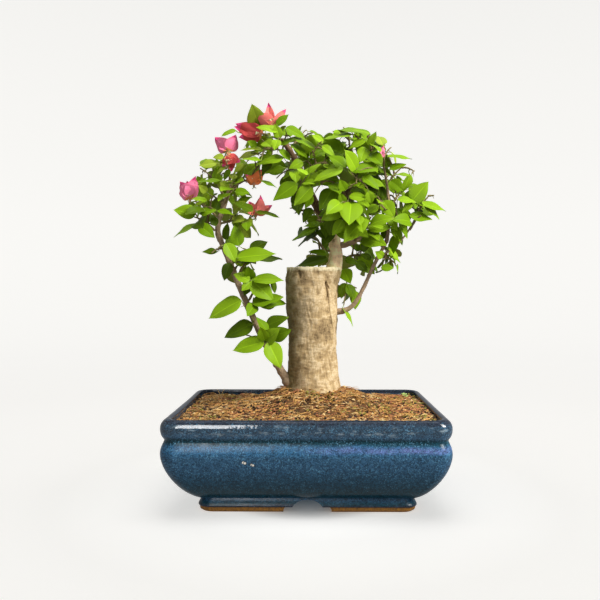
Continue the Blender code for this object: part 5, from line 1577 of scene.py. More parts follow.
def fine_growth(tree, mass, twigs, draw):
    """Finer twigs with smaller leaves, in what is left of one mass's space."""
    owner = "foliage_" + mass.name
    grown_twigs, leaves = [], []
    fine_twigs, twig_leaves, extra_leaves = FULLNESS.get(mass.limb, FULL)

    def add_leaf(path, share, azimuth=None, at_tip=False):
        place, along = on_path(path, share)
        smaller = mass._replace(size=mass.size * draw.uniform(*FINE_LEAF_SIZES))
        azimuth = draw.uniform(0, math.tau) if azimuth is None else azimuth
        leaf = tree.place_leaf(draw, smaller, owner, place, along, azimuth, share, at_tip)
        if leaf:
            leaves.append(leaf)

    for path in twigs:
        for _ in range(fine_twigs):
            place, along = on_path(path, draw.uniform(*FINE_TWIG_PLACES))
            if not in_space(mass, [place]):
                continue
            way = opened(along, draw.uniform(0, math.tau), TWIG_OPENING * draw.uniform(*FINE_TWIG_OPENINGS))
            way.z += TWIG_LIFT
            reach = (mass.half[0] + mass.half[2]) / 2 * draw.uniform(*FINE_TWIG_LENGTH)
            fine = bowed(place, place + way.normalized() * reach, STEM_BOW)
            free = twig_shape(fine, TIP_RADIUS, GAP)
            if not in_space(mass, [fine[-1]]) or not tree.is_clear(free, owner):
                continue
            grown_twigs.append(fine)
            tree.standing.append(solid_of(owner, *twig_shape(fine, TIP_RADIUS)))
            phase = draw.uniform(0, math.tau)
            for index in range(twig_leaves):
                share = FINE_FIRST_LEAF + (1 - FINE_FIRST_LEAF) * index / (twig_leaves - 1)
                add_leaf(fine, share, phase + index * GOLDEN_ANGLE, index == twig_leaves - 1)
        for _ in range(extra_leaves):
            add_leaf(path, draw.uniform(*EXTRA_LEAF_PLACES))
    return grown_twigs, leaves


def tone_of(mass, draw):
    """Young leaves by the blossom, deep ones at the back as painted shade, and the rest dealt out by spray,
    the palest only in front as painted light.
    """
    if mass.flowers or mass.size < YOUNG_SIZE:
        return draw.choices(("young", "bright", "fresh"), (5, 3, 3))[0]
    if mass.middle[1] > BACK_FROM:
        return draw.choices(("deep", "full", "fresh"), (5, 4, 2))[0]
    return draw.choices(("deep", "full", "fresh", "bright"), (2, 4, 5, 3))[0]


@functools.cache
def grown():
    """The whole plant: the limbs' curves, and each mass's sprays of twigs and leaves."""
    points, faces = coarse_trunk()
    tree = Tree(points, faces)
    for limb in LIMBS:
        tree.grow_limb(limb)
    shoots = [(mass, *tree.grow_twigs(mass)) for mass in MASSES]
    ruled = [(mass, twigs, tree.grow_leaves(mass, draw, phase, twigs))
             for mass, draw, phase, twigs in shoots]
    sprays = []
    for mass, twigs, leaves in ruled:
        draw = random.Random(SEEDS["finer growth"] + mass.seed)
        radii = [TWIG_RADIUS if rank else STEM_RADIUS for rank in range(len(twigs))]
        sprays.append(Spray(mass, list(zip(twigs, radii)), leaves, tone_of(mass, draw)))
        fine_twigs, fine_leaves = fine_growth(tree, mass, twigs, draw)
        fine_twigs = [(path, FINE_TWIG_RADIUS) for path in fine_twigs]
        sprays.append(Spray(mass, fine_twigs, fine_leaves, tone_of(mass, draw)))
    cleared = cleared_spots()
    sprays = [spray._replace(leaves=[leaf for leaf in spray.leaves if leaf.kind == "leaf"
                                     and not hides_bough(leaf, tree.curves) and not hides_sky(leaf)
                                     and not hides_seen(leaf, cleared)]) for spray in sprays]
    # Finer twigs that bear nothing are left out, and bare ends of the others
    grown_sprays = []
    for main, fine in zip(sprays[::2], sprays[1::2]):
        fine = fine._replace(twigs=[twig for twig in fine.twigs if bears(twig[0], fine.leaves)])
        held = [leaf.root for leaf in main.leaves + fine.leaves] + [path[0] for path, _ in fine.twigs]
        for spray in (main, fine):
            twigs = [(trimmed(path, held), radius) for path, radius in spray.twigs]
            grown_sprays.append(spray._replace(twigs=twigs))
    return Plant(tree.curves, grown_sprays + seen_sprays(grown_sprays))


def trimmed(path, held):
    """A twig without its end where that would stand bare against the sky."""
    while len(path) > TWIG_SHORTEST and in_sky(path[-1]):
        end = smooth_path(path[-2:])[1:]
        if any((spot - point).length < TWIG_BEARS for spot in held for point in end):
            break
        path = path[:-1]
    return path


def bears(path, leaves):
    """Whether a twig bears any of these leaves."""
    return any((leaf.root - point).length < TWIG_BEARS for leaf in leaves for point in smooth_path(path))


def at_pixel(x, y, depth):
    """The place that the photograph shows at a pixel, at a depth."""
    scale = (depth - CAMERA_PLACE[1]) / FOCAL
    return Vector(((x - MIDDLE_X) * scale, depth, CAMERA_PLACE[2] - (y - MIDDLE_Y) * scale))


def mark_places(mark, depth, tip_behind=0.0):
    """The foot, the tip and the width of what a mark stands for, at a depth."""
    foot_x, foot_y, tip_x, tip_y, width = mark
    wide = width * (depth - CAMERA_PLACE[1]) / FOCAL
    return at_pixel(foot_x, foot_y, depth), at_pixel(tip_x, tip_y, depth + tip_behind), wide


def seen_sprays(sprays):
    """The sprays that stand out at the front, each leaf on a twig from the nearest one that grew."""
    draw = random.Random(SEEDS["leaves that stand out"])
    points = [point for spray in sprays for path, _ in spray.twigs for point in path[1:]]
    seen = []
    for tone, depth, marks in SPRAYS_SEEN:
        twigs, leaves = [], []
        for mark in marks:
            base, tip, wide = mark_places(mark, depth)
            leaf = seen_leaf(base, tip, wide, draw)
            start = min(points, key=lambda point: (point - base).length)
            away = start - base
            joint = base + away * min(SEEN_STALK / away.length, SEEN_STALK_SHARE)
            twigs.append((bowed(start, joint, STEM_BOW), FINE_TWIG_RADIUS))
            leaves.append(leaf._replace(root=joint))
        seen.append(Spray(None, twigs, leaves, tone))
    return seen


def cleared_spots():
    """The spots, with their reach, that no other leaf may stand in front of."""
    ends = [mark_places(mark, depth)[:2] for _, depth, marks in SPRAYS_SEEN for mark in marks]
    cleared = [(foot.lerp(tip, LEAF_HEART), SEEN_CLEAR * (tip - foot).length) for foot, tip in ends]
    for bract in sum(map(bracts_of, BLOOMS), []):
        cleared.append((bract.base + bract.axis * (0.5 * bract.length), BRACT_CLEAR * bract.length))
    return cleared


def in_sky(spot):
    """Whether a place shows where the photograph has sky."""
    scale = FOCAL / (spot.y - CAMERA_PLACE[1])
    x, y = MIDDLE_X + spot.x * scale, MIDDLE_Y + (CAMERA_PLACE[2] - spot.z) * scale
    return any(math.hypot(x - sky_x, y - sky_y) < reach for sky_x, sky_y, reach in SKY_SEEN)


def hides_sky(leaf):
    """Whether a leaf shows where the photograph has sky."""
    return any(in_sky(leaf.base + leaf.axis * (leaf.length * share)) for share in SKY_TRIES)


def seen_leaf(base, tip, width, draw):
    """A leaf between two places, turned so that it looks this wide from the front."""
    flat = tip - base
    length = max(flat.length, width / LEAF_WIDTH)
    towards = min(math.sqrt(length ** 2 - flat.length ** 2), SEEN_TOWARDS * length)
    chord = (flat + Vector((0, -towards, 0))).normalized()
    facing = Vector((0, -1, 0))
    facing = (facing - chord * facing.dot(chord)).normalized()
    roll = math.acos(min(width / (LEAF_WIDTH * length), 1.0))
    sides = [Matrix.Rotation(turn, 3, chord) @ facing for turn in (roll, -roll)]
    up = max(sides, key=lambda side: side.z)
    droop = math.radians(draw.uniform(*SEEN_DROOPS))
    axis = chord * math.cos(droop / 2) + up * math.sin(droop / 2)
    normal = up * math.cos(droop / 2) - chord * math.sin(droop / 2)
    return Leaf(base, base, axis, normal, length, LEAF_WIDTH, droop,
                math.radians(draw.uniform(*SEEN_FOLDS)), "leaf")


def in_front(leaf, place, reach, behind=0.0):
    """Whether the fullest part of a leaf stands in front of a place, or so little behind it."""
    spot = leaf.base + leaf.axis * (leaf.length * LEAF_HEART)
    return spot.y < place.y + behind and math.hypot(spot.x - place.x, spot.z - place.z) < reach


def hides_seen(leaf, cleared):
    """Whether a leaf stands in front of a leaf or blossom that shows."""
    return any(in_front(leaf, place, reach, SEEN_CLEAR_DEPTH) for place, reach in cleared)


def hides_bough(leaf, curves):
    """Whether a leaf stands in front of a stretch of bough that shows."""
    return any(in_front(leaf, curve_point(curves[name], first + (last - first) * step / BARE_STEPS),
                        BARE_REACH)
               for name, first, last in BARE_STRETCHES for step in range(BARE_STEPS + 1))


def coarse_trunk():
    """The trunk as its solid has it, from which the boughs and twigs set out."""
    loops = []
    for ring in range(TRUNK_RINGS + 1):
        centre = TRUNK_FOOT.lerp(TRUNK_TOP, ring / TRUNK_RINGS)
        loop = []
        for side in range(TRUNK_SIDES):
            azimuth = math.tau * side / TRUNK_SIDES
            out = Vector((math.cos(azimuth), math.sin(azimuth), 0))
            loop.append(centre + out * trunk_radius(azimuth, centre.z))
        loops.append(loop)
    return loft(loops)


def smooth_path(path):
    """Points on a smooth curve through all points of a path."""
    ends = [path[0] * 2 - path[1], *path, path[-1] * 2 - path[-2]]
    fine = []
    for i in range(1, len(ends) - 2):
        a, b, c, d = ends[i - 1:i + 3]
        for step in range(TWIG_SMOOTHING):
            t = step / TWIG_SMOOTHING
            fine.append(0.5 * (2 * b + (c - a) * t + (2 * a - 5 * b + 4 * c - d) * t * t
                               + (3 * b - a - 3 * c + d) * t ** 3))
    return fine + [path[-1]]


def twig_skin(path, radius):
    """A twig with a slight knob at each bud, sunk into what it leaves."""
    fine = smooth_path(path)
    fine.insert(0, fine[0] + (fine[0] - fine[1]).normalized() * TWIG_SUNK)
    last = len(fine) - 1

    def radius_at(i, turn):
        knob = BUD_SWELL if i % BUD_EVERY == BUD_EVERY - 1 else 1.0
        return (radius + (TIP_RADIUS * TWIG_TIP - radius) * (i / last)) * knob

    return skin(fine, radius_at, TWIG_SIDES)


def thorn(place, way, reach):
    """A slim thorn, a little hooked."""
    hook = Vector((0, 0, -THORN_HOOK * reach))
    path = [place - way * THORN_SUNK, place + way * (reach * 0.5) + hook * 0.25, place + way * reach + hook]
    return tube(path, THORN_RADII, STALK_SIDES)


def stalk(leaf):
    """The stalk of a leaf or a bract, from its twig to the foot of its blade."""
    bend = leaf.root.lerp(leaf.base, 0.5) - leaf.normal * (STALK_BEND * leaf.length)
    sunk = leaf.root - (leaf.base - leaf.root).normalized() * STALK_SUNK
    end = leaf_section(leaf, STALK_END)[1] - leaf.normal * STALK_UNDER
    return tube([sunk, bend, leaf.base, end], [STALK_WIDTH * share for share in STALK_TAPER], STALK_SIDES)


def make_twigs(looks):
    """The twigs with their thorns, and the stalks of leaves and blossom."""
    draw = random.Random(SEEDS["twigs"])
    batch = Batch()
    for spray in grown().sprays:
        for path, radius in spray.twigs:
            batch.add(twig_skin(path, radius), 0)
            place, along = on_path(path, draw.uniform(*THORN_PLACES))
            way = opened(along, draw.uniform(0, math.tau), THORN_OPENING)
            batch.add(thorn(place, way, draw.uniform(*THORN_LENGTH)), 0)
        for leaf in spray.leaves:
            batch.add(stalk(leaf), 1)
    for bloom in BLOOMS:
        bracts = bracts_of(bloom)
        root = middle_of(bracts)[0]
        ends = [path[-1] for spray in grown().sprays if spray.mass and spray.mass.name == bloom.mass
                for path, _ in spray.twigs]
        start = min(ends, key=lambda end: (end - root).length)
        batch.add(twig_skin(bowed(start, root, STEM_BOW), FINE_TWIG_RADIUS), 1)
        for bract in bracts:
            batch.add(stalk(bract), 1)
    materials = [woody("twig_bark", looks.twig, 0.8), woody("green_shoot", looks.shoot, 0.6)]
    add_piece("foliage_twigs", batch, materials, ["foliage_" + mass.name for mass in MASSES])


def blade(leaf, phase, crease=0.0):
    """The fine blade of a leaf or bract, and the part that each of its faces belongs to."""
    side = leaf.axis.cross(leaf.normal)
    fold = leaf.fold * (1.0 if crease else BLADE_FOLD)
    count = len(BLADE_PARTS)
    points, faces, parts = [], [tuple(range(count))], [UNDER]
    for share in BLADE_SHARES:
        _, centre, lift = leaf_section(leaf, share)
        half = max(oval(share, BLADE_BASE, BLADE_TIP) * leaf.width * leaf.length / 2, STALK_WIDTH)
        wave = BLADE_WAVE * leaf.length * math.sin(phase + share * BLADE_WAVES * math.tau)
        for across in BLADE_ACROSS:
            out = abs(across)
            rise = out * half * math.sin(fold) + BLADE_ARCH * half * (out - out ** 3)
            rise += wave * out ** 3 * (1 if across > 0 else BLADE_OTHER_EDGE)
            if out < BLADE_MIDRIB:
                rise -= MIDRIB_SINK
            place = centre + side * (across * half * math.cos(fold)) + lift * rise
            if crease:
                place += lift * (crease * noise.noise(place / CREASE_SPACING))
            points.append(place)
        points.append(centre - lift * (BLADE_THICKNESS * (1.4 - share)))
    for row in range(len(BLADE_SHARES) - 1):
        a = row * count
        for i in range(count):
            j = (i + 1) % count
            faces.append((a + i, a + j, a + count + j, a + count + i))
        parts += BLADE_PARTS
    points.append(leaf_section(leaf, 1.0)[1])
    a = (len(BLADE_SHARES) - 1) * count
    faces += [(a + i, a + (i + 1) % count, len(points) - 1) for i in range(count)]
    return (points, faces), [*parts, *BLADE_PARTS]


def make_leaves(looks):
    """One piece for each green, with its ribs and undersides."""
    draw = random.Random(SEEDS["leaves"])
    under = leaf_surface("leaf_underside", looks.under, roughness=0.6)
    batches = {tone: Batch() for tone in ("deep", "full", "fresh", "bright", "young")}
    for spray in grown().sprays:
        for leaf in spray.leaves:
            batches[spray.tone].add(*blade(leaf, draw.uniform(0, math.tau)))
    for tone, batch in batches.items():
        tint = getattr(looks, tone)
        upper = leaf_surface("leaf_" + tone, tint)
        rib = leaf_surface("leaf_rib_" + tone, scaled(tint, RIB_LIGHTER), roughness=0.5)
        add_piece("foliage_leaves_" + tone, batch, [upper, rib, under])


def bract_parts(faces, parts):
    """The parts of a bract, whose foot and tip have colours of their own."""
    count = len(BLADE_PARTS)
    zoned = []
    for face, part in zip(faces, parts):
        if part != RIB and max(face) < HEART_ROWS * count:
            part = HEART
        elif part != RIB and min(face) >= TIP_FROM * count:
            part = TIP
        zoned.append(part)
    return zoned


def make_blossom(looks):
    """Papery bracts in threes, and the slim flowers between them."""
    draw = random.Random(SEEDS["blossom"])
    bracts, flowers = {tone: Batch() for tone in ("rose", "coral", "amber", "deep")}, Batch()
    for bloom in BLOOMS:
        root, lean = middle_of(bracts_of(bloom))
        for bract in bracts_of(bloom):
            shape, parts = blade(bract, draw.uniform(0, math.tau), BRACT_CREASE)
            bracts[bloom.tone].add(shape, bract_parts(shape[1], parts))
            if len(bloom.bracts) == BRACTS:
                way = lean.lerp(bract.axis, FLOWER_OPENING).normalized()
                flowers.add(*flower(root, way, draw))
    for tone, batch in bracts.items():
        tint = getattr(looks, tone)
        paper = leaf_surface("bract_" + tone, tint, **PAPERY)
        vein = leaf_surface("bract_vein_" + tone, scaled(tint, VEIN_DARKER), roughness=0.6)
        heart = leaf_surface("bract_heart_" + tone, looks.heart, **PAPERY)
        tip = leaf_surface("bract_tip_" + tone, looks.tip, **PAPERY)
        add_piece("blossom_bracts_" + tone, batch, [paper, vein, paper, heart, tip])
    tube_skin = leaf_surface("flower_tube", looks.tube, roughness=0.6)
    star = leaf_surface("flower_mouth", looks.star, roughness=0.6)
    add_piece("blossom_flowers", flowers, [tube_skin, star])


def bracts_of(bloom):
    """The bracts of a blossom, each as wide as it looks, and cupped round the blossom's middle."""
    bracts = []
    middle_x = sum(mark[2] for mark in bloom.bracts) / len(bloom.bracts)
    for mark, behind, inside in zip(bloom.bracts, BRACT_DEPTHS, BRACT_INSIDES):
        foot, tip, wide = mark_places(mark, bloom.depth, behind)
        axis = (tip - foot).normalized()
        inwards = math.copysign(BRACT_INWARDS, middle_x - mark[2]) if inside > 0 else 0.0
        within = Vector((inwards, inside, 0.0))
        normal = (within - axis * within.dot(axis)).normalized()
        length = (tip - foot).length
        wide = wide / math.cos(BRACT_CUP) / abs(normal.y)
        bracts.append(Leaf(foot - axis * BRACT_STALK, foot, axis, normal, length, wide / length,
                           BRACT_CURL, BRACT_CUP, "bract"))
    return bracts


def middle_of(bracts):
    """Where the bracts of a blossom meet, and the way that it opens."""
    root = sum((bract.root for bract in bracts), Vector()) / len(bracts)
    return root, sum((bract.axis for bract in bracts), Vector()).normalized()


def flower(root, way, draw):
    """A slim tube that swells at its foot and opens in a small five-lobed mouth."""
    reach = draw.uniform(*FLOWER_LENGTH)
    path = [root + way * (reach * share) for share in FLOWER_SHARES]

    def radius_at(i, turn):
        lobes = 1 + (LOBE_DEPTH * math.cos(MOUTH_LOBES * turn) if i >= MOUTH_RING else 0.0)
        return FLOWER_RADIUS * FLOWER_WIDTHS[i] * lobes

    points, faces = skin(path, radius_at, FLOWER_SIDES)
    mouth = (MOUTH_RING - 1) * FLOWER_SIDES
    return (points, faces), [0, 1] + [1 if face[0] >= mouth else 0 for face in faces[2:]]


def grain_of(x, y, along):
    """How far bark stands out at a place round a limb and along it: its fissures, marks and crust."""
    split = noise.noise(Vector((x, y, along * FISSURE_STRETCH)) / FISSURE_SPACING)
    fissure = 1 - FISSURE_SHARPNESS * abs(split)
    mark = noise.noise(Vector((x * MARK_STRETCH, y * MARK_STRETCH, along)) / MARK_SPACING)
    crust = noise.noise(Vector((x, y, along)) / CRUST_SPACING + CRUST_SHIFT)
    return FISSURE_DEPTH * fissure + MARK_DEPTH * mark + CRUST_DEPTH * crust


def scar_depth(azimuth, z):
    """How deep the crack and the pit go at a place on the trunk."""
    depth = 0.0
    for (low_angle, low), (high_angle, high), width, deepest in SCARS:
        share = min(max((z - low) / (high - low), 0.0), 1.0)
        middle = math.radians(low_angle + (high_angle - low_angle) * share)
        across = math.remainder(azimuth - middle, math.tau) * TRUNK_RADIUS
        beyond = z - (low + (high - low) * share)
        depth += deepest * math.exp(-(across / width) ** 2 - (beyond / (width * SCAR_END)) ** 2)
    return depth


def ridge_height(azimuth, z):
    """How far the lobes below the boughs stand out, beyond those of the solid."""
    height = 0.0
    for degrees, level, stands, half_angle, half_height in RIDGES:
        turn = math.remainder(azimuth - math.radians(degrees), math.tau)
        height += stands * math.exp(-(turn / math.radians(half_angle)) ** 2
                                    - ((z - level) / half_height) ** 2)
    return height


def edge_share(azimuth, z):
    """How much nearer or further the fine trunk's surface stands than its solid's, left and right."""
    for (low, *first), (high, *second) in zip(TRUNK_EDGES, TRUNK_EDGES[1:]):
        if z <= high:
            break
    share = min(max((z - low) / (high - low), 0.0), 1.0)
    share *= share * (3 - 2 * share)
    left, right = (a + (b - a) * share for a, b in zip(first, second))
    middle = TRUNK_FOOT.lerp(TRUNK_TOP, (z - TRUNK_FOOT.z) / (TRUNK_TOP.z - TRUNK_FOOT.z)).x
    side = math.cos(azimuth)
    wanted = right - middle if side > 0 else middle - left
    return 1 + (wanted / trunk_radius(0.0 if side > 0 else math.pi, z) - 1) * abs(side) ** EDGE_EASE


def make_trunk(looks):
    """The stump with its fissured bark, its crack, and its weathered cut."""
    loops, relief = [], []
    low = TRUNK_FOOT.z - TRUNK_SINK
    for ring in range(TRUNK_FINE_RINGS + 1):
        z = low + (TRUNK_TOP.z - low) * ring / TRUNK_FINE_RINGS
        rise = (z - TRUNK_FOOT.z) / (TRUNK_TOP.z - TRUNK_FOOT.z)
        centre = TRUNK_FOOT.lerp(TRUNK_TOP, rise)
        loop = []
        for side in range(TRUNK_FINE_SIDES):
            azimuth = math.tau * side / TRUNK_FINE_SIDES
            out = Vector((math.cos(azimuth), math.sin(azimuth), 0))
            level = max(z, TRUNK_FOOT.z)
            radius = trunk_radius(azimuth, level) * edge_share(azimuth, level)
            stands = grain_of(out.x * radius, out.y * radius, z) * looks.relief
            stands += ridge_height(azimuth, z) - scar_depth(azimuth, z)
            near_cut = max(0.0, rise - RAGGED_FROM) / (1 - RAGGED_FROM)
            ragged = CUT_RAGGEDNESS * noise.noise(out * RAGGED_TEETH) * near_cut
            loop.append(centre + out * (radius + stands) - Vector((0, 0, abs(ragged))))
            relief.append(RELIEF_LEVEL + stands / (TRUNK_RELIEF * FISSURE_DEPTH))
        loops.append(loop)
    edge = loops[-1]
    for share in CUT_RINGS:
        loop = []
        for point in edge:
            place = TRUNK_TOP.lerp(point, share)
            saw = SAW_DEPTH * noise.noise(Vector((place.x, place.y, 0)) / SAW_SPACING)
            loop.append(Vector((place.x, place.y, place.z + (saw - CUT_DISH * (1 - share)))))
            relief.append(CUT_LEVEL + CUT_CONTRAST * noise.noise(place / CUT_GRAIN))
        loops.append(loop)
    batch = Batch()
    batch.add(loft(loops))
    add_piece("trunk_bark", batch, [old_bark(looks)], ["trunk"], 80.0, relief)


def knobs_along(reach, draw):
    """Leaf scars along a limb: where each stands, which way, and how high."""
    knobs, place = [], draw.uniform(*KNOB_SPACING)
    while place < reach:
        knobs.append((place, draw.uniform(0, math.tau), draw.uniform(*KNOB_HEIGHT)))
        place += draw.uniform(*KNOB_SPACING)
    return knobs


def bough_shape(limb, controls, draw, relief):
    """One bough, sunk into what it leaves, with its collar, its knobs and its bark."""
    steps = int(sum((controls[i + 1] - controls[i]).length for i in range(3)) / BOUGH_STEP)
    path = [curve_point(controls, step / steps) for step in range(steps + 1)]
    shift, shift_reach = ROOT_SHIFTS.get(limb.name, (Vector(), 1.0))
    for step, point in enumerate(path):
        point += shift * max(1 - step / steps / shift_reach, 0.0) ** 2
    back = (path[0] - path[1]).normalized()
    sunk = TRUNK_BOUGH_SINK if limb.host == "trunk" else max(BOUGH_SINK, limb.radius)
    path = [path[0] + back * sunk, path[0] + back * (sunk / 2)] + path
    ahead = (path[-1] - path[-2]).normalized()
    path += [path[-1] + ahead * limb.tip_radius * share for share, _ in BOUGH_END]
    placed = [0.0]
    for a, b in zip(path, path[1:]):
        placed.append(placed[-1] + (b - a).length)
    reach = placed[-1]
    knobs = knobs_along(reach, draw)
    start = draw.uniform(0, 9)

    def radius_at(i, turn):
        along = placed[i]
        share = min(max((along - sunk) / (reach - sunk), 0.0), 1.0)
        radius = limb.radius + (limb.tip_radius - limb.radius) * share
        radius *= SLIMMEST.get(limb.name, BOUGH_SLENDER)
        collar = COLLARED.get(limb.name, PLAIN_COLLAR)
        radius *= 1 + collar * math.exp(-max(along - sunk, 0.0) / (COLLAR_REACH * limb.radius))
        if i >= len(path) - len(BOUGH_END):
            radius *= BOUGH_END[i - len(path)][1]
        for place, side, height in knobs:
            if abs(along - place) < 3 * KNOB_LENGTH:
                around = (0.5 + 0.5 * math.cos(turn - side)) ** 2
                radius *= 1 + height * around * math.exp(-((along - place) / KNOB_LENGTH) ** 2)
        rough = min(radius / ROUGH_FROM, 1.0) ** 0.5
        stands = grain_of(radius * math.cos(turn), radius * math.sin(turn), along + start) * rough
        relief.append(RELIEF_LEVEL + stands / (BOUGH_RELIEF * FISSURE_DEPTH))
        return radius + stands

    return skin(path, radius_at, BOUGH_SIDES)


def make_boughs(looks):
    """The boughs, in maturing bark made paler as painted light, young bark, and bark darkened as painted
    shade inside the crown.
    """
    draw = random.Random(SEEDS["boughs"])
    batch, relief = Batch(), []
    for limb in LIMBS:
        shape = bough_shape(limb, grown().curves[limb.name], draw, relief)
        batch.add(shape, BOUGH_BARKS.get(limb.name, 1))
    add_piece("bough_bark", batch, [old_bark(looks, "maturing_bark", looks.pale),
                                    old_bark(looks, "young_bark", looks.young),
                                    old_bark(looks, "inner_bark", looks.shaded)],
              [limb.name for limb in LIMBS], 80.0, relief)


def soil_height(x, y):
    """The soil's surface, mounded round the trunk."""
    dx, dy = (x - TRUNK_FOOT.x) / SOIL_SPREAD_X, (y - TRUNK_FOOT.y) / SOIL_SPREAD_Y
    lumps = LUMP_HEIGHT * math.sin(x * LUMPS_X) * math.cos(y * LUMPS_Y + LUMPS_SHIFT)
    height = SOIL_EDGE + SOIL_MOUND * math.exp(-(dx * dx + dy * dy) / 2) + lumps
    return min(height, TRUNK_FOOT.z - GAP)


def rough_soil(x, y):
    """The height of the fine surface, with its lumps and crumbs."""
    place = Vector((x, y, 0)) / SOIL_GRAIN
    rough = sum(share * noise.noise(place * finer) for finer, share in SOIL_LUMPS)
    beside = max(abs(x) / POT_HALF_X, abs(y) / POT_HALF_Y)
    rise = max(beside - SOIL_RISE_FROM, 0.0) / (1 - SOIL_RISE_FROM)
    return soil_height(x, y) + SOIL_ROUGHNESS * rough + SOIL_SIDE_RISE * rise


def make_ground(looks):
    """The soil's own surface, down to a flat underside inside the pot."""
    loop = pot_loop(WALL_SEEN + GAP, SOIL_EDGE, SOIL_FINE_CORNER, SOIL_FINE_SIDES)
    edge = [slumped(point) for point in loop]
    loops = [[Vector((point.x, point.y, SOIL_EDGE - SOIL_DEPTH)) for point in edge]]
    for ring in range(SOIL_FINE_RINGS):
        loop = []
        for point in edge:
            place = point.lerp(TRUNK_FOOT, ring / SOIL_FINE_RINGS)
            loop.append(Vector((place.x, place.y, rough_soil(place.x, place.y))))
        loops.append(loop)
    batch = Batch()
    batch.add(loft(loops))
    ground = woody("coir_and_peat", looks.ground, 0.95, dark=0.45, light=2.2, grain_mm=2.2)
    add_piece("soil_ground", batch, [ground], ["soil"], 60.0)


def strand(start, way, reach, thick, sag, draw):
    """A loose fibre that lies along a way, curls to one side and droops to its end."""
    side = way.cross(Vector((0, 0, 1))).normalized()
    curl = draw.uniform(*FIBRE_CURLS)
    path, radii = [], []
    for share in (0.0, 0.25, 0.5, 0.75, 1.0):
        place = start + way * (reach * share) + side * (curl * reach * share * share)
        path.append(place - Vector((0, 0, sag * reach * share * share)))
        radii.append(thick * (1 - FIBRE_TAPER * share))
    return tube(path, radii, 3)


def crumb(centre, size, draw):
    """An angular crumb: a squashed and turned octahedron."""
    turn = Matrix.Rotation(draw.uniform(0, math.tau), 3, "Z")
    turn = turn @ Matrix.Rotation(draw.uniform(*CRUMB_TILTS), 3, "X")
    half = [size * draw.uniform(*limits) for limits in CRUMB_HALVES]
    points = []
    for axis in range(3):
        for sign in (-1, 1):
            offset = Vector((0, 0, 0))
            offset[axis] = sign * half[axis] * draw.uniform(*CRUMB_CORNERS)
            points.append(centre + turn @ offset)
    faces = [(0, 2, 4), (2, 1, 4), (1, 3, 4), (3, 0, 4), (2, 0, 5), (1, 2, 5), (3, 1, 5), (0, 3, 5)]
    return points, faces


def heap_place(draw):
    """A place close round the trunk, with how high the litter is heaped against it there."""
    azimuth = math.radians(draw.uniform(*HEAP_TURNS))
    away = draw.uniform(0.0, 1.0) ** HEAP_CROWDING
    radius = TRUNK_RADIUS + HEAP_FROM + HEAP_REACH * away
    side = HEAP_LOWEST + (1 - HEAP_LOWEST) * (0.5 - 0.5 * math.cos(azimuth))
    return (TRUNK_FOOT.x + math.cos(azimuth) * radius, TRUNK_FOOT.y + math.sin(azimuth) * radius,
            HEAP_HEIGHT * side * (1 - away) * draw.uniform(*HEAP_SHARES))


def soil_place(draw):
    """A place on the soil inside the rim and outside the trunk, where nothing is heaped."""
    half_x = POT_HALF_X - WALL_SEEN - RIM_MARGIN
    half_y = POT_HALF_Y - WALL_SEEN * DEPTH_SHARE - RIM_MARGIN
    corner = POT_CORNER - CORNER_TAPER * WALL_SEEN - RIM_MARGIN / 2
    while True:
        x, y = draw.uniform(-half_x, half_x), draw.uniform(-half_y, half_y)
        over_x, over_y = abs(x) - (half_x - corner), abs(y) - (half_y - corner)
        if over_x > 0 and over_y > 0 and math.hypot(over_x, over_y) > corner:
            continue
        if math.hypot(x - TRUNK_FOOT.x, y - TRUNK_FOOT.y) > TRUNK_RADIUS + TRUNK_MARGIN:
            return x, y, 0.0


def patches(x, y, layer, spacing):
    """A slow wave over the soil, from -1 to 1, that tells where one kind of litter gathers."""
    return noise.noise(Vector((x, y, layer)) / spacing)


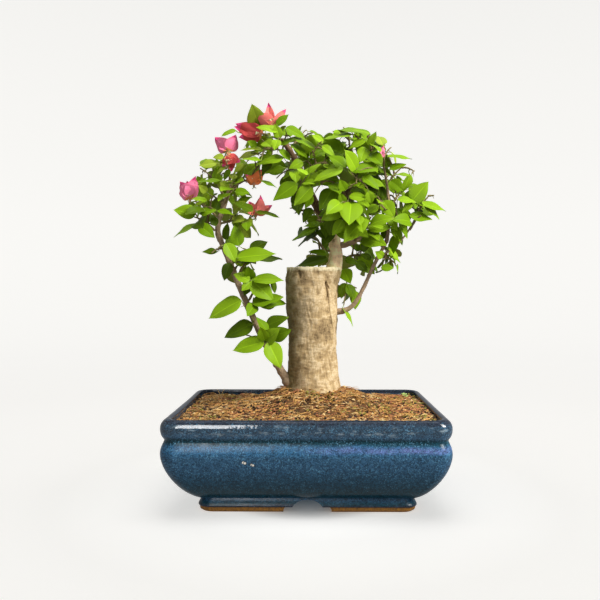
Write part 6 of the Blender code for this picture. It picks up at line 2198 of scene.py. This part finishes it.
def make_litter(looks):
    """Coir, crumbs of bark and a few straws lying on the soil."""
    draw = random.Random(SEEDS["litter"])
    fibres, crumbs = Batch(), Batch()
    rim_x, rim_y, rim_share = INWARDS_FROM
    for rank in range(looks.fibres):
        x, y, heap = soil_place(draw) if rank % HEAP_SHARE else heap_place(draw)
        if patches(x, y, 0, HOLLOW_SPACING) < HOLLOW_BELOW and draw.random() < HOLLOW_BARE:
            continue
        reach = draw.uniform(*FIBRE_LENGTHS)
        azimuth = draw.uniform(0, math.tau)
        way = Vector((math.cos(azimuth), math.sin(azimuth), draw.uniform(*FIBRE_RISES))).normalized()
        if x * way.x + y * way.y > 0 and math.hypot(x / rim_x, y / rim_y) > rim_share:
            way = -way
        way.z = abs(way.z)
        start = Vector((x, y, rough_soil(x, y) + heap + draw.uniform(*FIBRE_HEIGHTS)))
        thick = draw.uniform(*FIBRE_RADII)
        # Coir, pale fibre and bark, in clumps of pale fibre with bark between them
        clump = patches(x, y, 0.02, CLUMP_SPACING)
        weights = (6, max(2 + 8 * clump, 0), 1 - 6 * min(clump, 0))
        if x > DAMP_FROM and y > -DAMP_FROM / 2:
            weights = DAMP_FIBRES
        finish = draw.choices((0, 1, 2), weights)[0]
        fibres.add(strand(start, way, reach, thick, draw.uniform(*FIBRE_SAGS), draw), finish)
    for rank in range(looks.crumbs):
        x, y, heap = soil_place(draw) if rank % HEAP_SHARE else heap_place(draw)
        size = draw.uniform(*CRUMB_SIZES)
        centre = Vector((x, y, rough_soil(x, y) + heap + 0.3 * size))
        finish = draw.choices((0, 1, 2, 3), CRUMB_SHARES)[0]
        damp = MOSS_MORE_WHERE_DAMP * min(max((x - DAMP_FROM) / DAMP_EDGE, 0.0), 1.0)
        if patches(x, y, 0.05, MOSS_SPACING) > MOSS_ABOVE - damp and draw.random() < MOSS_SHARE:
            finish = MOSSY_CRUMB
        crumbs.add(crumb(centre, size, draw), finish)
    for (x, y), lean, tall in STRAWS:
        start = Vector((x, y, rough_soil(x, y) - STRAW_SUNK))
        way = Vector((math.sin(lean), 0.1, math.cos(lean))).normalized()
        fibres.add(strand(start, way, tall, STRAW_RADIUS, 0.0, draw), 1)
    coir = woody("coconut_fibre", looks.coir, 0.85)
    pale = woody("bleached_fibre", looks.pale, 0.85)
    bark = woody("bark_crumbs", looks.bark, 0.9)
    dark = woody("damp_crumbs", looks.dark, 0.8)
    add_piece("soil_fibres", fibres, [coir, pale, bark])
    moss = woody("dry_moss", looks.moss, 0.9)
    add_piece("soil_crumbs", crumbs, [coir, pale, bark, dark, moss], smooth_angle=20.0)


def make_sprout(looks):
    """The seedling in the back corner."""
    draw = random.Random(SEEDS["seedling"])
    x, y = SPROUT_PLACE
    foot = Vector((x, y, rough_soil(x, y) - SPROUT_SUNK))
    top = foot + Vector((SPROUT_SUNK, 0, SPROUT_HEIGHT))
    batch = Batch()
    batch.add(tube([foot, foot.lerp(top, 0.5), top], SPROUT_RADII, STALK_SIDES))
    for index in range(SPROUT_LEAVES):
        azimuth = index * GOLDEN_ANGLE
        rise = SPROUT_LEAF_RISE - SPROUT_LEAF_FALL * index
        axis = Vector((math.cos(azimuth), math.sin(azimuth), rise)).normalized()
        start = foot.lerp(top, SPROUT_FIRST_LEAF + SPROUT_LEAF_STEP * index)
        normal = (SPROUT_FACING - axis * axis.dot(SPROUT_FACING)).normalized()
        leaf = Leaf(start, start + axis * SPROUT_SUNK, axis, normal, draw.uniform(*SPROUT_LEAF_LENGTHS),
                    width=0.6, droop=0.4, fold=0.2, kind="leaf")
        batch.add(blade(leaf, 0.0)[0])
    add_piece("soil_sprout", batch, [leaf_surface("seedling_leaf", looks.sprout)])


def make_floor(looks):
    """A pale sweep: level under the plant, and curved up all round."""
    profile = [(FLOOR_RADIUS * ring / FLOOR_RINGS, 0.0) for ring in range(1, FLOOR_RINGS + 1)]
    for ring in range(1, SWEEP_RINGS + 1):
        turn = math.pi / 2 * ring / SWEEP_RINGS
        profile.append((FLOOR_RADIUS + SWEEP_RADIUS * math.sin(turn), SWEEP_RADIUS * (1 - math.cos(turn))))
    profile.append((FLOOR_RADIUS + SWEEP_RADIUS, SWEEP_TOP))
    sides = range(FLOOR_SIDES)
    points = [Vector((0, 0, 0))]
    for radius, z in profile:
        turns = [math.tau * i / FLOOR_SIDES for i in sides]
        points += [Vector((radius * math.cos(turn), radius * math.sin(turn), z)) for turn in turns]
    faces = [(0, 1 + i, 1 + (i + 1) % FLOOR_SIDES) for i in sides]
    for a in range(1, 1 + FLOOR_SIDES * (len(profile) - 1), FLOOR_SIDES):
        b = a + FLOOR_SIDES
        faces += [(a + i, b + i, b + (i + 1) % FLOOR_SIDES, a + (i + 1) % FLOOR_SIDES) for i in sides]
    mesh = bpy.data.meshes.new("floor_sweep")
    mesh.from_pydata([tuple(point) for point in points], [], faces)
    mesh.shade_smooth()
    mesh.materials.append(matt_paper(looks))
    floor = bpy.data.objects.new("floor_sweep", mesh)
    floor.visible_diffuse = floor.visible_glossy = False
    unlit = bpy.data.collections.new("unlit_by_key")
    unlit.objects.link(floor)
    unlit.collection_objects[0].light_linking.link_state = "EXCLUDE"
    bpy.context.scene.collection.objects.link(floor)


def matt_paper(looks):
    """Background paper, uncoated, that glows as painted light, more towards its edge so that it stays pale
    all round, and dims under and round the pot as a painted shadow.
    """
    made, tree, shader = new_material("matt_paper", {
        "Base Color": list(looks.floor), "Roughness": 0.9, "Specular IOR Level": 0.2,
        "Emission Strength": 1.0})
    middle = node(tree, "TexCoord")["Object"]
    away = node(tree, "VectorMath", (middle,), operation="LENGTH")["Value"]
    share = product(tree, (away, 0.0, FLOOR_RADIUS + SWEEP_RADIUS))
    # The glow is painted light, low under and round the pot as a painted shadow
    stops = [(place, (glow, glow, glow * 0.98, 1.0)) for place, glow in PAINTED_PAPER_LIGHT]
    glow = node(tree, "ValToRGB", (share,), (stops[0], stops[-1], *stops[1:-1]))["Color"]
    fill(tree, shader, {"Emission Color": glow})
    return made


def add_light(name, place, aim, size, power, tint=(1.0, 1.0, 1.0)):
    """A soft light that looks at a point; its size is its width and its height."""
    data = bpy.data.lights.new(name, "AREA")
    data.shape = "RECTANGLE"
    data.energy, data.color = power, tint
    data.size, data.size_y = size
    light = bpy.data.objects.new(name, data)
    light.location = place
    light.rotation_mode = "QUATERNION"
    light.rotation_quaternion = (Vector(aim) - Vector(place)).to_track_quat("-Z", "Y")
    bpy.context.scene.collection.objects.link(light)
    return light


def make_camera(looks):
    """The photograph's camera: nearly level, turned by about half a degree, with no shift."""
    data = bpy.data.cameras.new("camera")
    data.sensor_width = SENSOR_WIDTH
    data.lens = looks.lens
    data.clip_start, data.clip_end = 0.01, 20.0
    camera = bpy.data.objects.new("camera", data)
    camera.location = CAMERA_PLACE
    camera.rotation_euler = (math.radians(90 - CAMERA_DOWN), 0.0, math.radians(CAMERA_LEFT))
    bpy.context.scene.collection.objects.link(camera)
    bpy.context.scene.camera = camera


def make_lights(looks):
    """A soft key at the right, a slim strip at the left, a broad light overhead and an even sky."""
    key = add_light("key_light", KEY_PLACE, KEY_AIM, KEY_SIZE, looks.key, KEY_TINT)
    # The paper takes no hard shadow from the key
    key.light_linking.receiver_collection = bpy.data.collections["unlit_by_key"]
    strip = add_light("strip_light", STRIP_PLACE, STRIP_AIM, STRIP_SIZE, looks.fill)
    # It shows only as a streak of gloss
    strip.visible_diffuse = False
    add_light("top_light", TOP_PLACE, TOP_AIM, TOP_SIZE, looks.top)
    world = bpy.data.worlds.new("even_sky")
    world.use_nodes = True
    fill(world.node_tree, world.node_tree.nodes["Background"],
         {"Color": (1.0, 1.0, 1.0, 1.0), "Strength": looks.sky})
    bpy.context.scene.world = world
    bpy.context.scene.view_settings.view_transform = "Standard"


class BONSAI_OT_stage(bpy.types.Operator):
    """Make the floor, the lights and the camera"""

    bl_idname = "bonsai.stage"
    bl_label = "Stage"
    bl_options = {"REGISTER", "UNDO"}

    def execute(self, context):
        looks = context.scene.bonsai_stage
        make_floor(looks)
        make_lights(looks)
        make_camera(looks)
        return {"FINISHED"}


class BONSAI_OT_pot(bpy.types.Operator):
    """Make the glazed pot and its feet"""

    bl_idname = "bonsai.pot"
    bl_label = "Pot"
    bl_options = {"REGISTER", "UNDO"}

    def execute(self, context):
        looks = context.scene.bonsai_pot
        glaze = glazed_stoneware(looks)
        make_pot(looks, glaze)
        make_feet(looks, glaze)
        return {"FINISHED"}


class BONSAI_OT_soil(bpy.types.Operator):
    """Make the soil with its coir, crumbs, straws and seedling"""

    bl_idname = "bonsai.soil"
    bl_label = "Soil"
    bl_options = {"REGISTER", "UNDO"}

    def execute(self, context):
        looks = context.scene.bonsai_soil
        make_ground(looks)
        make_litter(looks)
        make_sprout(looks)
        return {"FINISHED"}


class BONSAI_OT_wood(bpy.types.Operator):
    """Make the trunk and the boughs with their bark"""

    bl_idname = "bonsai.wood"
    bl_label = "Trunk and boughs"
    bl_options = {"REGISTER", "UNDO"}

    def execute(self, context):
        make_trunk(context.scene.bonsai_bark)
        make_boughs(context.scene.bonsai_bark)
        return {"FINISHED"}


class BONSAI_OT_twigs(bpy.types.Operator):
    """Make the twigs, thorns and leaf stalks"""

    bl_idname = "bonsai.twigs"
    bl_label = "Twigs"
    bl_options = {"REGISTER", "UNDO"}

    def execute(self, context):
        make_twigs(context.scene.bonsai_bark)
        return {"FINISHED"}


class BONSAI_OT_leaves(bpy.types.Operator):
    """Make the leaves, one piece for each green"""

    bl_idname = "bonsai.leaves"
    bl_label = "Leaves"
    bl_options = {"REGISTER", "UNDO"}

    def execute(self, context):
        make_leaves(context.scene.bonsai_leaves)
        return {"FINISHED"}


class BONSAI_OT_blossom(bpy.types.Operator):
    """Make the bracts and the small flowers between them"""

    bl_idname = "bonsai.blossom"
    bl_label = "Blossom"
    bl_options = {"REGISTER", "UNDO"}

    def execute(self, context):
        make_blossom(context.scene.bonsai_blossom)
        return {"FINISHED"}


OPERATORS = (BONSAI_OT_stage, BONSAI_OT_pot, BONSAI_OT_soil, BONSAI_OT_wood, BONSAI_OT_twigs,
             BONSAI_OT_leaves, BONSAI_OT_blossom)
LOOKS = {"bonsai_stage": StageLooks, "bonsai_pot": PotLooks, "bonsai_soil": SoilLooks,
         "bonsai_bark": BarkLooks, "bonsai_leaves": LeafLooks, "bonsai_blossom": BlossomLooks}


class BONSAI_PT_sidebar(bpy.types.Panel):
    """The makers, and the looks that they use"""

    bl_idname = "BONSAI_PT_sidebar"
    bl_label = "Bougainvillea bonsai"
    bl_space_type = "VIEW_3D"
    bl_region_type = "UI"
    bl_category = "Bonsai"

    def draw(self, context):
        for operator in OPERATORS:
            self.layout.operator(operator.bl_idname)
        for name, looks in LOOKS.items():
            box = self.layout.box()
            box.label(text=looks.__doc__)
            for key in looks.__annotations__:
                box.prop(getattr(context.scene, name), key)


def register():
    """Makes the classes known, and gives the scene its looks."""
    for made in (*LOOKS.values(), *OPERATORS, BONSAI_PT_sidebar):
        bpy.utils.register_class(made)
    for name, looks in LOOKS.items():
        setattr(bpy.types.Scene, name, PointerProperty(type=looks))


def unregister():
    """Takes the looks and the classes away again."""
    for name in LOOKS:
        delattr(bpy.types.Scene, name)
    for made in (BONSAI_PT_sidebar, *reversed(OPERATORS), *reversed(list(LOOKS.values()))):
        bpy.utils.unregister_class(made)


def main():
    """Makes the whole plant on its stage."""
    register()
    for operator in OPERATORS:
        group, name = operator.bl_idname.split(".")
        getattr(getattr(bpy.ops, group), name)()
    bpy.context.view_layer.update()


if __name__ == "__main__":
    main()
